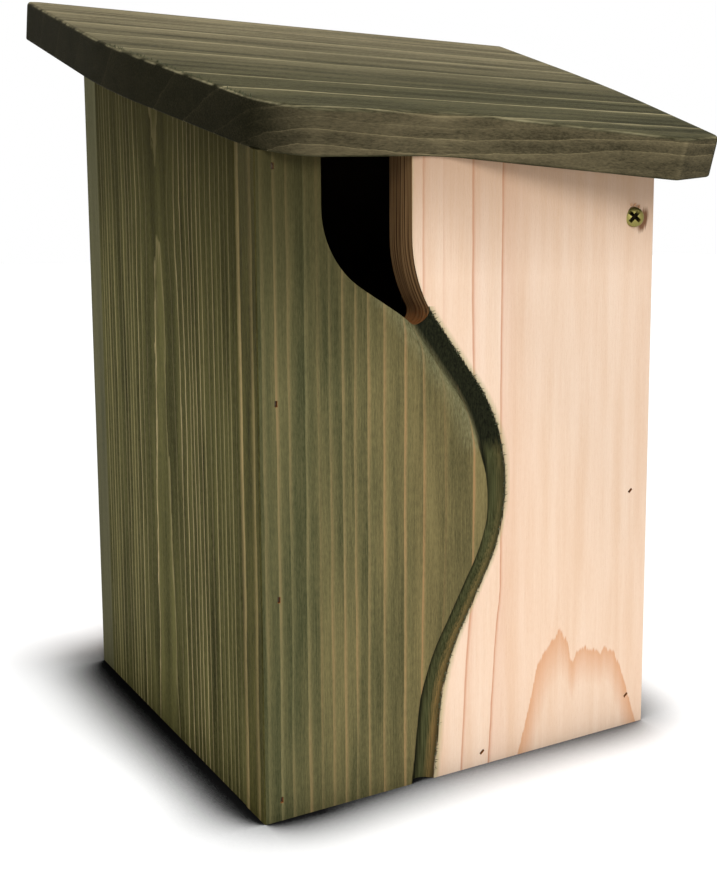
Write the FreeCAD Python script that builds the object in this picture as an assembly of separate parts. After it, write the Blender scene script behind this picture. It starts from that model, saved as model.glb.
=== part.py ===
"""Bird nest box of softwood boards with a swing-out cleaning door.

Millimetres, +Z up. The front faces -Y and the viewer's right is +X.
The origin is the middle of the box's underside.
"""
import FreeCAD
import Part
import math
import os
from FreeCAD import Placement, Rotation, Vector

# Box of boards
WIDTH = 160.0
DEPTH = 174.0
FRONT_HEIGHT = 214.0
BOARD = 15.0
ROOF_BOARD = 15.0
ROOF_SLOPE = 17.0

# Roof outline on its underside: x from the side named, y behind the front face, corner radius
ROOF_LEFT_BACK_OVERHANG = 24.0
ROOF_LEFT_OVERHANG = 21.3
ROOF_LEFT_BEND = 77.0
ROOF_LEFT_BEND_RADIUS = 200.0
ROOF_LEFT_NOSE_INSET = 2.0
ROOF_LEFT_NOSE_REACH = 9.3
ROOF_LEFT_NOSE_RADIUS = 21.0
ROOF_TROUGH_INSET = 67.0
ROOF_TROUGH_REACH = 0.2
ROOF_TROUGH_RADIUS = 50.0
ROOF_RIGHT_NOSE_INSET = 10.5
ROOF_RIGHT_NOSE_REACH = 23.3
ROOF_RIGHT_NOSE_RADIUS = 5.0
ROOF_CHEEK_OVERHANG = 12.0
ROOF_CHEEK_REACH = 16.5
ROOF_CHEEK_RADIUS = 6.0
ROOF_RIGHT_BEND_OVERHANG = 38.0
ROOF_RIGHT_BEND = 76.0
ROOF_RIGHT_BEND_RADIUS = 600.0
ROOF_RIGHT_OVERHANG = 50.0
ROOF_BACK_RADIUS = 2.5
ROOF_TOP_EASE = 1.6
ROOF_UNDER_EASE = 1.0

# S line: from the entrance's right edge by tangent bends and straight runs to the bottom edge
S_LINE_INSET = 55.6
S_LINE_START_DROP = 26.0
S_FIRST_RADIUS = 46.3
S_FIRST_TURN = 37.1
S_FIRST_RUN = 26.4
S_SECOND_RADIUS = 62.1
S_SECOND_TURN = 65.8
S_SECOND_RUN = 21.7
S_THIRD_RADIUS = 76.4
S_THIRD_TURN = 23.6

# Groove along the S line, cut with a round-nosed bit
GROOVE_WIDTH = 8.8
GROOVE_DEPTH = 3.2
GROOVE_START_TURN = 14.0

# Entrance, open at the top up to the roof
ENTRANCE_INSET = 22.4
ENTRANCE_CORNER_RADIUS = 30.0
ENTRANCE_SILL_ANGLE = 58.4
ENTRANCE_END_RADIUS = 4.0
ENTRANCE_END_TURN = 30.0

# Cleaning door in the upper part of the right side
SPLIT_HEIGHT = 103.0
SPLIT_BEVEL = 20.0
SPLIT_GAP = 0.5
DOOR_SIDE_GAP = 0.6
DOOR_TOP_GAP = 2.0

# Pivot screws
PIVOT_INSET = 8.2
PIVOT_DROP = 19.3
SCREW_RADIUS = 2.0
SCREW_LENGTH = 40.0
SCREW_POINT = 5.0
HEAD_RADIUS = 3.5
HEAD_HEIGHT = 2.4
HEAD_RIM = 1.1
CROWN_RADIUS = 2.6
RECESS_WIDTH = 1.0
RECESS_LENGTH = 4.8
RECESS_DEPTH = 1.4
RECESS_TURN = 45.0
RUNNING_CLEARANCE = 0.05
COUNTERBORE_CLEARANCE = 0.4

# Brads
BRAD_LENGTH = 30.0
BRAD_WIDTH = 1.2
BRAD_THICKNESS = 1.0
BRAD_HEAD = 2.4
BRAD_HEAD_DEPTH = 1.0
BRAD_SINK = 0.7
UPRIGHT = 90.0
LEANING = 40.0

# Brad places, from the edge, corner or face named
LEFT_BRAD_INSET = 6.1
LEFT_BRAD_LOW = 7.0
LEFT_BRAD_DROP = 4.6
LEFT_BRAD_SHARES = (0.0, 0.33, 0.64, 1.0)
RIGHT_BRAD_INSET = 8.5
RIGHT_BRAD_LOW = 11.9
RIGHT_BRAD_DROP = 10.6
FLOOR_BRAD_OFFSET = 4.5
FLOOR_BRAD_HEIGHT = 4.7
ROOF_FRONT_BRAD_INSETS = (11.0, 112.0)
ROOF_LEFT_BRAD_DEPTHS = (62.0, 126.0)
ROOF_BACK_BRAD_INSETS = (26.0, 80.0, 136.0)

# Openings in the hidden boards
HANGING_RADIUS = 4.0
HANGING_DROP = 62.0
DRAIN_RADIUS = 3.0
DRAIN_INSET = 25.0

# Places worked out from the sizes above
LEFT = -WIDTH / 2
RIGHT = WIDTH / 2
FRONT = -DEPTH / 2
BACK = DEPTH / 2
INNER_FRONT = FRONT + BOARD
INNER_BACK = BACK - BOARD
INNER_LEFT = LEFT + BOARD
INNER_RIGHT = RIGHT - BOARD
ROOF_RISE = math.tan(math.radians(ROOF_SLOPE))
ROOF_TURN = Rotation(Vector(1, 0, 0), ROOF_SLOPE)
BACK_HEIGHT = FRONT_HEIGHT + DEPTH * ROOF_RISE
ROOF_TOP_LIFT = ROOF_BOARD / math.cos(math.radians(ROOF_SLOPE))
PIVOT_X = RIGHT - PIVOT_INSET
PIVOT_Z = FRONT_HEIGHT - PIVOT_DROP
INTO_FRONT = Vector(0, 1, 0)
INTO_BACK = Vector(0, -1, 0)
DOWN = Vector(0, 0, -1)
BEYOND = 2 * (WIDTH + DEPTH + FRONT_HEIGHT)


def solid(shape):
    """Cleaned single solid of a shape."""
    return shape.removeSplitter().Solids[0]


def board(low, high):
    """Plain board between two opposite corners."""
    size = high - low
    return Part.makeBox(size.x, size.y, size.z, low)


def above_roof(gap=0.0):
    """Everything above the plane of the roof's underside, or above a plane that lies lower by a gap."""
    block = Part.makeBox(BEYOND, BEYOND, BEYOND, Vector(-BEYOND / 2, -BEYOND / 2, -gap))
    block.Placement = Placement(Vector(0, FRONT, FRONT_HEIGHT), ROOF_TURN)
    return block


def across(x, z, y=FRONT):
    """Point of the front face."""
    return Vector(x, y, z)


def heading(turn):
    """Direction on the front face, turned from straight down towards +X."""
    angle = math.radians(turn)
    return Vector(math.sin(angle), 0, -math.cos(angle))


def beside(turn):
    """Direction square to a heading, on its +X side."""
    return heading(turn + 90.0)


def run(start, turn, length):
    """Straight edge and its end."""
    end = start + heading(turn) * length
    return Part.LineSegment(start, end).toShape(), end


def bend(start, turn, radius, by):
    """Arc that turns a heading by an angle, and its end."""
    side = math.copysign(1.0, by)
    centre = start + beside(turn) * radius * side
    middle = centre - beside(turn + by / 2) * radius * side
    end = centre - beside(turn + by) * radius * side
    return Part.Arc(start, middle, end).toShape(), end


def rounded_outline(corners):
    """Closed wire through corners (x, y, radius), each rounded by a tangent arc."""
    points = [Vector(x, y, 0) for x, y, radius in corners]
    arcs = []
    for index, (x, y, radius) in enumerate(corners):
        here = points[index]
        arriving = (here - points[index - 1]).normalize()
        leaving = (points[(index + 1) % len(points)] - here).normalize()
        half_turn = arriving.getAngle(leaving) / 2
        trim = radius * math.tan(half_turn)
        inward = (leaving - arriving).normalize()
        middle = here + inward * radius * (1 / math.cos(half_turn) - 1)
        arcs.append((here - arriving * trim, middle, here + leaving * trim))
    edges = []
    for index, (first, middle, last) in enumerate(arcs):
        edges.append(Part.Arc(first, middle, last).toShape())
        edges.append(Part.LineSegment(last, arcs[(index + 1) % len(arcs)][0]).toShape())
    return Part.Wire(edges)


def make_roof():
    """Sloping board with a hand-sawn outline and eased edges, square-cut at the back."""
    corners = [
        (LEFT - ROOF_LEFT_BACK_OVERHANG, DEPTH, ROOF_BACK_RADIUS),
        (LEFT - ROOF_LEFT_OVERHANG, ROOF_LEFT_BEND, ROOF_LEFT_BEND_RADIUS),
        (LEFT + ROOF_LEFT_NOSE_INSET, -ROOF_LEFT_NOSE_REACH, ROOF_LEFT_NOSE_RADIUS),
        (LEFT + ROOF_TROUGH_INSET, -ROOF_TROUGH_REACH, ROOF_TROUGH_RADIUS),
        (RIGHT - ROOF_RIGHT_NOSE_INSET, -ROOF_RIGHT_NOSE_REACH, ROOF_RIGHT_NOSE_RADIUS),
        (RIGHT + ROOF_CHEEK_OVERHANG, -ROOF_CHEEK_REACH, ROOF_CHEEK_RADIUS),
        (RIGHT + ROOF_RIGHT_BEND_OVERHANG, ROOF_RIGHT_BEND, ROOF_RIGHT_BEND_RADIUS),
        (RIGHT + ROOF_RIGHT_OVERHANG, DEPTH, ROOF_BACK_RADIUS),
    ]
    stretch = 1 / math.cos(math.radians(ROOF_SLOPE))
    outline = rounded_outline([(x, y * stretch, radius) for x, y, radius in corners])
    roof = Part.Face(outline).extrude(Vector(0, 0, ROOF_BOARD))
    top = [edge for edge in roof.Edges if edge.BoundBox.ZMin > ROOF_BOARD / 2]
    roof = roof.makeFillet(ROOF_TOP_EASE, top)
    under = [edge for edge in roof.Edges if edge.BoundBox.ZMax < ROOF_UNDER_EASE / 2]
    roof = roof.makeFillet(ROOF_UNDER_EASE, under)
    roof.Placement = Placement(Vector(0, FRONT, FRONT_HEIGHT), ROOF_TURN)
    return roof


def s_line_point(radius, turn):
    """Point of the S line's first bend, or of a line beside it with another radius."""
    centre = across(LEFT + S_LINE_INSET + S_FIRST_RADIUS, FRONT_HEIGHT - S_LINE_START_DROP)
    return centre - beside(turn) * radius


def entrance():
    """Through cut: left edge, round corner, sloping sill, round end and the S line's first bend."""
    top = BACK_HEIGHT
    end_centre = s_line_point(S_FIRST_RADIUS + ENTRANCE_END_RADIUS, ENTRANCE_END_TURN)
    sill = heading(ENTRANCE_SILL_ANGLE)
    sill_end = end_centre - beside(ENTRANCE_SILL_ANGLE) * ENTRANCE_END_RADIUS
    middle_turn = (ENTRANCE_SILL_ANGLE + ENTRANCE_END_TURN) / 2
    end_middle = end_centre + heading(middle_turn) * ENTRANCE_END_RADIUS
    bend_end = s_line_point(S_FIRST_RADIUS, ENTRANCE_END_TURN)
    bend_middle = s_line_point(S_FIRST_RADIUS, ENTRANCE_END_TURN / 2)
    bend_start = s_line_point(S_FIRST_RADIUS, 0.0)
    left = LEFT + ENTRANCE_INSET
    corner = sill_end - sill * ((sill_end.x - left) / sill.x)
    trim = ENTRANCE_CORNER_RADIUS * math.tan(math.radians(ENTRANCE_SILL_ANGLE / 2))
    corner_start = corner + heading(0.0) * -trim
    corner_arc, corner_end = bend(corner_start, 0.0, ENTRANCE_CORNER_RADIUS, ENTRANCE_SILL_ANGLE)
    top_left = across(left, top)
    top_right = across(bend_start.x, top)
    outline = Part.Wire([
        Part.LineSegment(top_left, corner_start).toShape(),
        corner_arc,
        Part.LineSegment(corner_end, sill_end).toShape(),
        Part.Arc(sill_end, end_middle, bend_end).toShape(),
        Part.Arc(bend_end, bend_middle, bend_start).toShape(),
        Part.LineSegment(bend_start, top_right).toShape(),
        Part.LineSegment(top_right, top_left).toShape(),
    ])
    cut = Part.Face(outline).extrude(Vector(0, 3 * BOARD, 0))
    cut.translate(Vector(0, -BOARD, 0))
    return cut


def groove():
    """Round-nosed groove left of the S line, with the bit's round end inside the entrance."""
    half = GROOVE_WIDTH / 2
    nose = (half ** 2 + GROOVE_DEPTH ** 2) / (2 * GROOVE_DEPTH)
    offset = ENTRANCE_END_RADIUS
    point = s_line_point(S_FIRST_RADIUS + offset, GROOVE_START_TURN)
    point.y -= nose - GROOVE_DEPTH
    start = Vector(point)
    turn = GROOVE_START_TURN
    edges = []
    for radius, by, length in (
        (S_FIRST_RADIUS + offset, S_FIRST_TURN - GROOVE_START_TURN, S_FIRST_RUN),
        (S_SECOND_RADIUS - offset, -S_SECOND_TURN, S_SECOND_RUN),
        (S_THIRD_RADIUS + offset, S_THIRD_TURN, FRONT_HEIGHT),
    ):
        edge, point = bend(point, turn, radius, by)
        edges.append(edge)
        turn += by
        edge, point = run(point, turn, length)
        edges.append(edge)
    circle = Part.Wire(Part.Circle(start, heading(GROOVE_START_TURN), nose).toShape())
    tube = Part.Wire(edges).makePipeShell([circle], True, False)
    return [tube, Part.makeSphere(nose, start)]


def brad(point, direction, turn=0.0):
    """Brad with a T head, driven along a direction from its sunk head, and the slot over the head."""
    shank = Part.makeBox(BRAD_WIDTH, BRAD_THICKNESS, BRAD_LENGTH)
    shank.translate(Vector(-BRAD_WIDTH / 2, -BRAD_THICKNESS / 2, 0))
    head = Part.makeBox(BRAD_HEAD, BRAD_THICKNESS, BRAD_HEAD_DEPTH)
    head.translate(Vector(-BRAD_HEAD / 2, -BRAD_THICKNESS / 2, 0))
    body = solid(shank.fuse(head))
    slot = Part.makeBox(BRAD_HEAD, BRAD_THICKNESS, 2 * BRAD_SINK)
    slot.translate(Vector(-BRAD_HEAD / 2, -BRAD_THICKNESS / 2, -2 * BRAD_SINK))
    placing = Placement(point + direction * BRAD_SINK,
                        Rotation(Vector(0, 0, 1), direction) * Rotation(Vector(0, 0, 1), turn))
    body.Placement = placing
    slot.Placement = placing
    return body, slot


def screw(point, direction, turn):
    """Pan-head screw along a direction from the underside of its head, with a cross recess."""
    corners = [(0, -HEAD_HEIGHT), (CROWN_RADIUS, -HEAD_HEIGHT), (HEAD_RADIUS, -HEAD_RIM), (HEAD_RADIUS, 0),
               (SCREW_RADIUS, 0), (SCREW_RADIUS, SCREW_LENGTH - SCREW_POINT), (0, SCREW_LENGTH)]
    outline = Part.makePolygon([Vector(x, 0, z) for x, z in corners + corners[:1]])
    body = Part.Face(outline).revolve(Vector(), Vector(0, 0, 1), 360)
    for quarter in (0.0, 90.0):
        blade = Part.makeBox(RECESS_LENGTH, RECESS_WIDTH, 2 * RECESS_DEPTH)
        blade.translate(Vector(-RECESS_LENGTH / 2, -RECESS_WIDTH / 2, -HEAD_HEIGHT - RECESS_DEPTH))
        blade.rotate(Vector(), Vector(0, 0, 1), quarter)
        body = body.cut(blade)
    body = solid(body)
    body.Placement = Placement(point, Rotation(Vector(0, 0, 1), direction) * Rotation(Vector(0, 0, 1), turn))
    return body


def side_brad_places(y, top):
    """Brads of the front or back along the left side's edge, the highest one just under a given top."""
    span = top - LEFT_BRAD_DROP - LEFT_BRAD_LOW
    return [Vector(LEFT + LEFT_BRAD_INSET, y, LEFT_BRAD_LOW + span * share) for share in LEFT_BRAD_SHARES]


def lower_brad_places(y):
    """Brads of the front or back along the lower right side's edge."""
    heights = (RIGHT_BRAD_LOW, SPLIT_HEIGHT - RIGHT_BRAD_DROP)
    return [Vector(RIGHT - RIGHT_BRAD_INSET, y, height) for height in heights]


def on_roof(x, depth):
    """Point of the roof's top surface, at a depth behind the front face."""
    return Vector(x, FRONT + depth, FRONT_HEIGHT + depth * ROOF_RISE + ROOF_TOP_LIFT)


def make_brads():
    """Every group of brads, with the slots over the heads."""
    front_floor = Vector(FLOOR_BRAD_OFFSET, FRONT, FLOOR_BRAD_HEIGHT)
    back_floor = Vector(FLOOR_BRAD_OFFSET, BACK, FLOOR_BRAD_HEIGHT)
    back_top = BACK_HEIGHT - (BRAD_SINK + BRAD_LENGTH) * ROOF_RISE
    plan = {
        "front_left_brads": (side_brad_places(FRONT, FRONT_HEIGHT), INTO_FRONT, UPRIGHT),
        "front_right_brads": (lower_brad_places(FRONT), INTO_FRONT, -LEANING),
        "front_floor_brad": ([front_floor], INTO_FRONT, -LEANING),
        "back_left_brads": (side_brad_places(BACK, back_top), INTO_BACK, UPRIGHT),
        "back_right_brads": (lower_brad_places(BACK), INTO_BACK, UPRIGHT),
        "back_floor_brad": ([back_floor], INTO_BACK, UPRIGHT),
        "roof_front_brads": ([on_roof(LEFT + inset, BOARD / 2) for inset in ROOF_FRONT_BRAD_INSETS], DOWN, 0.0),
        "roof_left_brads": ([on_roof(LEFT + BOARD / 2, depth) for depth in ROOF_LEFT_BRAD_DEPTHS], DOWN, UPRIGHT),
        "roof_back_brads": ([on_roof(LEFT + inset, DEPTH - BOARD / 2) for inset in ROOF_BACK_BRAD_INSETS], DOWN, 0.0),
    }
    groups = {}
    for name, (places, direction, turn) in plan.items():
        groups[name] = [brad(place, direction, turn) for place in places]
    return groups


def bodies(groups, *names):
    """Solids of the brads in the groups named."""
    return [body for name in names for body, slot in groups[name]]


def slots(groups, *names):
    """Slots over the heads of the brads in the groups named."""
    return [slot for name in names for body, slot in groups[name]]


def make_front(groups):
    """Front with its top bevelled to the roof, the entrance, the S groove and its fastener holes."""
    front = board(Vector(LEFT, FRONT, 0), Vector(RIGHT, INNER_FRONT, BACK_HEIGHT)).cut(above_roof())
    front = front.cut(entrance())
    front = front.cut(groove())
    names = ("front_left_brads", "front_right_brads", "front_floor_brad")
    holes = bodies(groups, *names, "roof_front_brads") + slots(groups, *names)
    hole = Part.makeCylinder(SCREW_RADIUS + RUNNING_CLEARANCE, BOARD, across(PIVOT_X, PIVOT_Z), INTO_FRONT)
    return solid(front.cut(holes + [hole]))


def make_back(groups):
    """Back with its top bevelled to the roof, a hanging hole and a counterbored pivot hole."""
    back = board(Vector(LEFT, INNER_BACK, 0), Vector(RIGHT, BACK, BACK_HEIGHT)).cut(above_roof())
    names = ("back_left_brads", "back_right_brads", "back_floor_brad")
    holes = bodies(groups, *names, "roof_back_brads") + slots(groups, *names)
    pivot = across(PIVOT_X, PIVOT_Z, BACK)
    holes.append(Part.makeCylinder(SCREW_RADIUS + RUNNING_CLEARANCE, BOARD, pivot, INTO_BACK))
    holes.append(Part.makeCylinder(HEAD_RADIUS + COUNTERBORE_CLEARANCE, counterbore_depth(), pivot, INTO_BACK))
    hanging = across(0.0, BACK_HEIGHT - HANGING_DROP, BACK)
    holes.append(Part.makeCylinder(HANGING_RADIUS, BOARD, hanging, INTO_BACK))
    return solid(back.cut(holes))


def counterbore_depth():
    """Depth that sinks the rear screw's head below the back face."""
    return HEAD_HEIGHT + COUNTERBORE_CLEARANCE


def make_left(groups):
    """Left side between front and back, from the ground to the roof."""
    left = board(Vector(LEFT, INNER_FRONT, 0), Vector(INNER_LEFT, INNER_BACK, BACK_HEIGHT)).cut(above_roof())
    return solid(left.cut(bodies(groups, "front_left_brads", "back_left_brads", "roof_left_brads")))


def make_floor(groups):
    """Floor set in between the four walls, with drain holes."""
    low = Vector(INNER_LEFT, INNER_FRONT, 0)
    high = Vector(INNER_RIGHT, INNER_BACK, BOARD)
    holes = bodies(groups, "front_floor_brad", "back_floor_brad")
    for x in (low.x + DRAIN_INSET, high.x - DRAIN_INSET):
        for y in (low.y + DRAIN_INSET, high.y - DRAIN_INSET):
            holes.append(Part.makeCylinder(DRAIN_RADIUS, BOARD, Vector(x, y, 0)))
    return solid(board(low, high).cut(holes))


def right_slab(outer_low, outer_high, inner_low, inner_high, front, back):
    """Slab in the right side, with its own heights at the outer and the inner face."""
    corners = [Vector(RIGHT, front, outer_low), Vector(RIGHT, front, outer_high),
               Vector(INNER_RIGHT, front, inner_high), Vector(INNER_RIGHT, front, inner_low)]
    face = Part.Face(Part.makePolygon(corners + corners[:1]))
    return face.extrude(Vector(0, back - front, 0))


def split_rise():
    """Rise of the bevelled cut from the outer to the inner face of the right side."""
    return BOARD * math.tan(math.radians(SPLIT_BEVEL))


def make_lower_right(groups):
    """Fixed lower part of the right side, its top bevelled to shed rain."""
    slab = right_slab(0.0, SPLIT_HEIGHT, 0.0, SPLIT_HEIGHT + split_rise(), INNER_FRONT, INNER_BACK)
    return solid(slab.cut(bodies(groups, "front_right_brads", "back_right_brads")))


def make_door(screws):
    """Upper part of the right side, hung on the two pivot screws."""
    low = SPLIT_HEIGHT + SPLIT_GAP
    front = INNER_FRONT + DOOR_SIDE_GAP
    back = INNER_BACK - DOOR_SIDE_GAP
    slab = right_slab(low, BACK_HEIGHT, low + split_rise(), BACK_HEIGHT, front, back)
    return solid(slab.cut(above_roof(DOOR_TOP_GAP)).cut(screws))


def build():
    """Every piece by its node name."""
    groups = make_brads()
    roof_names = ("roof_front_brads", "roof_left_brads", "roof_back_brads")
    front_seat = across(PIVOT_X, PIVOT_Z, FRONT - RUNNING_CLEARANCE)
    rear_seat = across(PIVOT_X, PIVOT_Z, BACK - counterbore_depth() + RUNNING_CLEARANCE)
    front_screw = screw(front_seat, INTO_FRONT, RECESS_TURN)
    rear_screw = screw(rear_seat, INTO_BACK, RECESS_TURN)
    pieces = {
        "front_board": make_front(groups),
        "back_panel": make_back(groups),
        "left_side_panel": make_left(groups),
        "lower_right_panel": make_lower_right(groups),
        "floor_panel": make_floor(groups),
        "roof_board": solid(make_roof().cut(bodies(groups, *roof_names) + slots(groups, *roof_names))),
        "cleaning_door": make_door([front_screw, rear_screw]),
        "front_pivot_screw": front_screw,
        "rear_pivot_screw": rear_screw,
    }
    for name in groups:
        pieces[name] = Part.makeCompound(bodies(groups, name))
    return pieces


def main():
    """Write one file for each piece."""
    os.makedirs("parts", exist_ok=True)
    for name, shape in build().items():
        shape.exportStep("parts/" + name + ".step")
        box = shape.BoundBox
        print(name, len(shape.Solids), shape.isValid(), round(shape.Volume), [round(value, 1) for value in
              (box.XMin, box.XMax, box.YMin, box.YMax, box.ZMin, box.ZMax)])


main()
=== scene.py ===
# %% [markdown]
# # Bird nest box
# A nest box for garden birds, nailed together from softwood boards. The front is one board with a
# routed S groove: left of the groove it is stained olive green, right of it the wood is bare.
# The roof is a single dark-stained board with a hand-sawn outline. The upper half of the right
# side hangs on two pan-head screws and swings out for cleaning. This lesson takes the boards from
# the construction, eases their edges, grows a wood figure through each of them and adds fasteners.

# %% Load the construction
import math
import random
import bmesh
import bpy
from mathutils import Matrix, Vector


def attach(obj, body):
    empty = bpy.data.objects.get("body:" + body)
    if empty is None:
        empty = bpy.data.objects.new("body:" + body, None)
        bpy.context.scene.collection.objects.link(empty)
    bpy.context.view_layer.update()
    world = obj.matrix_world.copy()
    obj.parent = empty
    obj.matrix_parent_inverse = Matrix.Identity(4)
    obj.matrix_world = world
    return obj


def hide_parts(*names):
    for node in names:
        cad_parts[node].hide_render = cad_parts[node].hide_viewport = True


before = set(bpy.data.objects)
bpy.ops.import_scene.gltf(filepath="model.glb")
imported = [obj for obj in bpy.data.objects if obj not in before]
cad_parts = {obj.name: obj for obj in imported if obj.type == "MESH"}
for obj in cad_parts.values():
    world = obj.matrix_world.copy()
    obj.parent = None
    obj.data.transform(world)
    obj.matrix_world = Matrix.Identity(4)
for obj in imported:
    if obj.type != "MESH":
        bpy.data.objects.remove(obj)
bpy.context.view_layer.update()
scene = bpy.context.scene
MM = 0.001
print("nodes:", sorted(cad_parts))

# %% [markdown]
# ## Sizes shared with the construction
# All in millimetres. The origin is the middle of the box's underside, the front faces -Y.
# The S line is described as a router follows it: bends and straight runs, from the top down.

# %% Sizes
LEFT, RIGHT = -80.0, 80.0
FRONT, BACK = -87.0, 87.0
BOARD = 15.0
INNER_FRONT = FRONT + BOARD
ROOF_SLOPE = math.radians(17.0)
FRONT_HEIGHT = 214.0
S_START = (LEFT + 55.6, FRONT_HEIGHT - 26.0)
S_BENDS = ((46.3, 37.1, 26.4), (62.1, -65.8, 21.7), (76.4, 23.6, 120.0))
GROOVE_DEPTH = 3.2
GROOVE_TOP = 165.0
S_STEP, S_ABOVE = 2.0, 90.0
FOUR_CORNERS = ((-1, -1), (1, -1), (1, 1), (-1, 1))


def s_line():
    """Points (x, z) of the S line, from the entrance's right edge down past the bottom edge."""
    x, z = S_START
    points = [(x, FRONT_HEIGHT + S_ABOVE), (x, z)]
    turn = 0.0
    for radius, by, length in S_BENDS:
        steps = max(1, round(radius * math.radians(abs(by)) / S_STEP))
        for step in range(steps):
            angle = math.radians(turn + by * (step + 0.5) / steps)
            stride = radius * math.radians(abs(by)) / steps
            x += math.sin(angle) * stride
            z -= math.cos(angle) * stride
            points.append((x, z))
        turn += by
        x += math.sin(math.radians(turn)) * length
        z -= math.cos(math.radians(turn)) * length
        points.append((x, z))
    return points


S_POINTS = s_line()
print("S line from", S_POINTS[1], "to", S_POINTS[-1])

# %% [markdown]
# ## Camera
# The picture is upright, taken from the front left, a little above the middle of the box and looking
# slightly down. Lens, place and angles were worked out from the box's own straight edges.

# %% Camera
LOOK_DOWN, LOOK_ASIDE = 7.2819, -31.4224
camera_data = bpy.data.cameras.new("camera")
camera_data.lens = 48.386
camera_data.sensor_width = 36.0
camera_data.shift_x = -0.06775
camera_data.shift_y = -0.07177
camera_data.clip_start = 0.01
camera = bpy.data.objects.new("camera", camera_data)
camera.location = (-0.22726, -0.42291, 0.19074)
camera.rotation_euler = (math.radians(90.0 - LOOK_DOWN), 0.0, math.radians(LOOK_ASIDE))
scene.collection.objects.link(camera)
scene.camera = camera
scene.view_settings.view_transform = "Standard"
print("camera:", camera_data.lens, "mm lens,", LOOK_DOWN, "degrees down")

# %% [markdown]
# ## Node helpers
# Colours are written as the eye reads them, in sRGB hex, and turned linear in one place.
# One small function adds a node to a tree, sets what is constant and links what is not.


# %% Helpers
def linear(code):
    """Linear colour of an sRGB hex code."""
    channels = [int(code[i:i + 2], 16) / 255.0 for i in (1, 3, 5)]
    return tuple(c / 12.92 if c <= 0.04045 else ((c + 0.055) / 1.055) ** 2.4 for c in channels) + (1.0,)


def fill(node, inputs):
    """Fill a node's inputs, by name or in the order it shows them: nodes are linked, values set."""
    if isinstance(inputs, list):
        pairs = list(zip([socket for socket in node.inputs if socket.enabled], inputs))
    else:
        pairs = [(node.inputs[key], value) for key, value in inputs.items()]
    for socket, value in pairs:
        if isinstance(value, bpy.types.Node):
            value = next(output for output in value.outputs if output.enabled)
        if isinstance(value, bpy.types.NodeSocket):
            node.id_data.links.new(value, socket)
        else:
            socket.default_value = value


def node_adder(tree):
    """The function that adds nodes to a tree."""
    def add(kind, inputs=None, mode=None, stops=None, points=None, **settings):
        """New node: settings first, then its inputs. mode is a sum's operation or a mix's type."""
        in_shaders = "ShaderNode" + kind
        node = tree.nodes.new(in_shaders if hasattr(bpy.types, in_shaders) else kind)
        if mode:
            setattr(node, "data_type" if kind == "Mix" else "operation", mode)
        for name, value in settings.items():
            setattr(node, name, value)
        fill(node, inputs or [])
        if stops:
            elements = node.color_ramp.elements
            while len(elements) < len(stops):
                elements.new(0.5)
            for element, (place, value) in zip(elements, stops):
                element.position = place
                element.color = (value, value, value, 1.0)
        if points:
            curve = node.mapping.curves[0]
            while len(curve.points) < len(points):
                curve.points.new(0.5, 0.5)
            for point, place in zip(curve.points, points):
                point.location = place
                point.handle_type = "VECTOR"
            node.mapping.update()
        return node
    return add


def new_material(name):
    """Empty material: (material, the function that adds its nodes, its shader)."""
    material = bpy.data.materials.new(name)
    material.use_nodes = True
    material.node_tree.nodes.clear()
    add = node_adder(material.node_tree)
    shader = add("BsdfPrincipled")
    add("OutputMaterial", {"Surface": shader})
    return material, add, shader


# %% [markdown]
# ## Floor
# A white sweep of paper under a strong soft light from above, with weaker lights on the front and on
# the left side, as in a catalogue picture. Where the floor is fully lit it is white. The lamps cast the
# box's shadow on it, and its colour adds painted shade close around the box, darkest beside the left side.

# %% Floor
FLOOR_REACH = 6.0
CONTACT_SHADE_REACH = 0.032
SHADE_LEFT, SHADE_RIGHT, SHADE_FADES, SHADE_ENDS = 0.62, 0.45, 60.0, 0.97
# Matt white paper: the eye sees no floor at all, only the shade that the box stands in, cast by the lamps and
# painted in close to the box.
white, add, shader = new_material("white_paper_floor")
# Painted shade: ambient occlusion darkens the floor's colour near the box, more towards the left.
contact_shade = add("AmbientOcclusion", {"Distance": CONTACT_SHADE_REACH}, samples=16)
across = add("SeparateXYZ", [add("TexCoord").outputs["Object"]]).outputs["X"]
darkest = add("MapRange", [across, LEFT * MM, (LEFT + SHADE_FADES) * MM, SHADE_LEFT, SHADE_RIGHT])
lit = add("MapRange", [contact_shade.outputs["AO"], darkest, SHADE_ENDS])
paper = add("Mix", [lit, linear("#101010"), linear("#e6e6e6")], "RGBA")
fill(shader, {"Base Color": paper, "Roughness": 1.0, "Specular IOR Level": 0.0})
floor_mesh = bpy.data.meshes.new("floor")
corners = [(x * FLOOR_REACH, y * FLOOR_REACH, 0) for x, y in FOUR_CORNERS]
floor_mesh.from_pydata(corners, [], [(0, 1, 2, 3)])
floor_mesh.materials.append(white)
floor = bpy.data.objects.new("floor", floor_mesh)
scene.collection.objects.link(floor)
print("floor:", 2 * FLOOR_REACH, "m wide")

# %% [markdown]
# ### Studio light
# The camera, and all that mirrors or lets light through, sees a white room, but the room itself gives
# little light: three soft lamps shape the box.

# %% Light
ROOM_LIGHT = 0.06
world = bpy.data.worlds.new("studio")
world.use_nodes = True
world.node_tree.nodes.clear()
add = node_adder(world.node_tree)
path = add("LightPath")
shown = path.outputs["Is Camera Ray"]
for ray in ("Is Glossy Ray", "Is Transmission Ray"):
    shown = add("Math", [shown, path.outputs[ray]], "MAXIMUM")
level = add("MapRange", [shown, 0.0, 1.0, ROOM_LIGHT, 1.0])
sky = add("Background", {"Color": linear("#ffffff"), "Strength": level})
add("OutputWorld", {"Surface": sky})
scene.world = world

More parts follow.
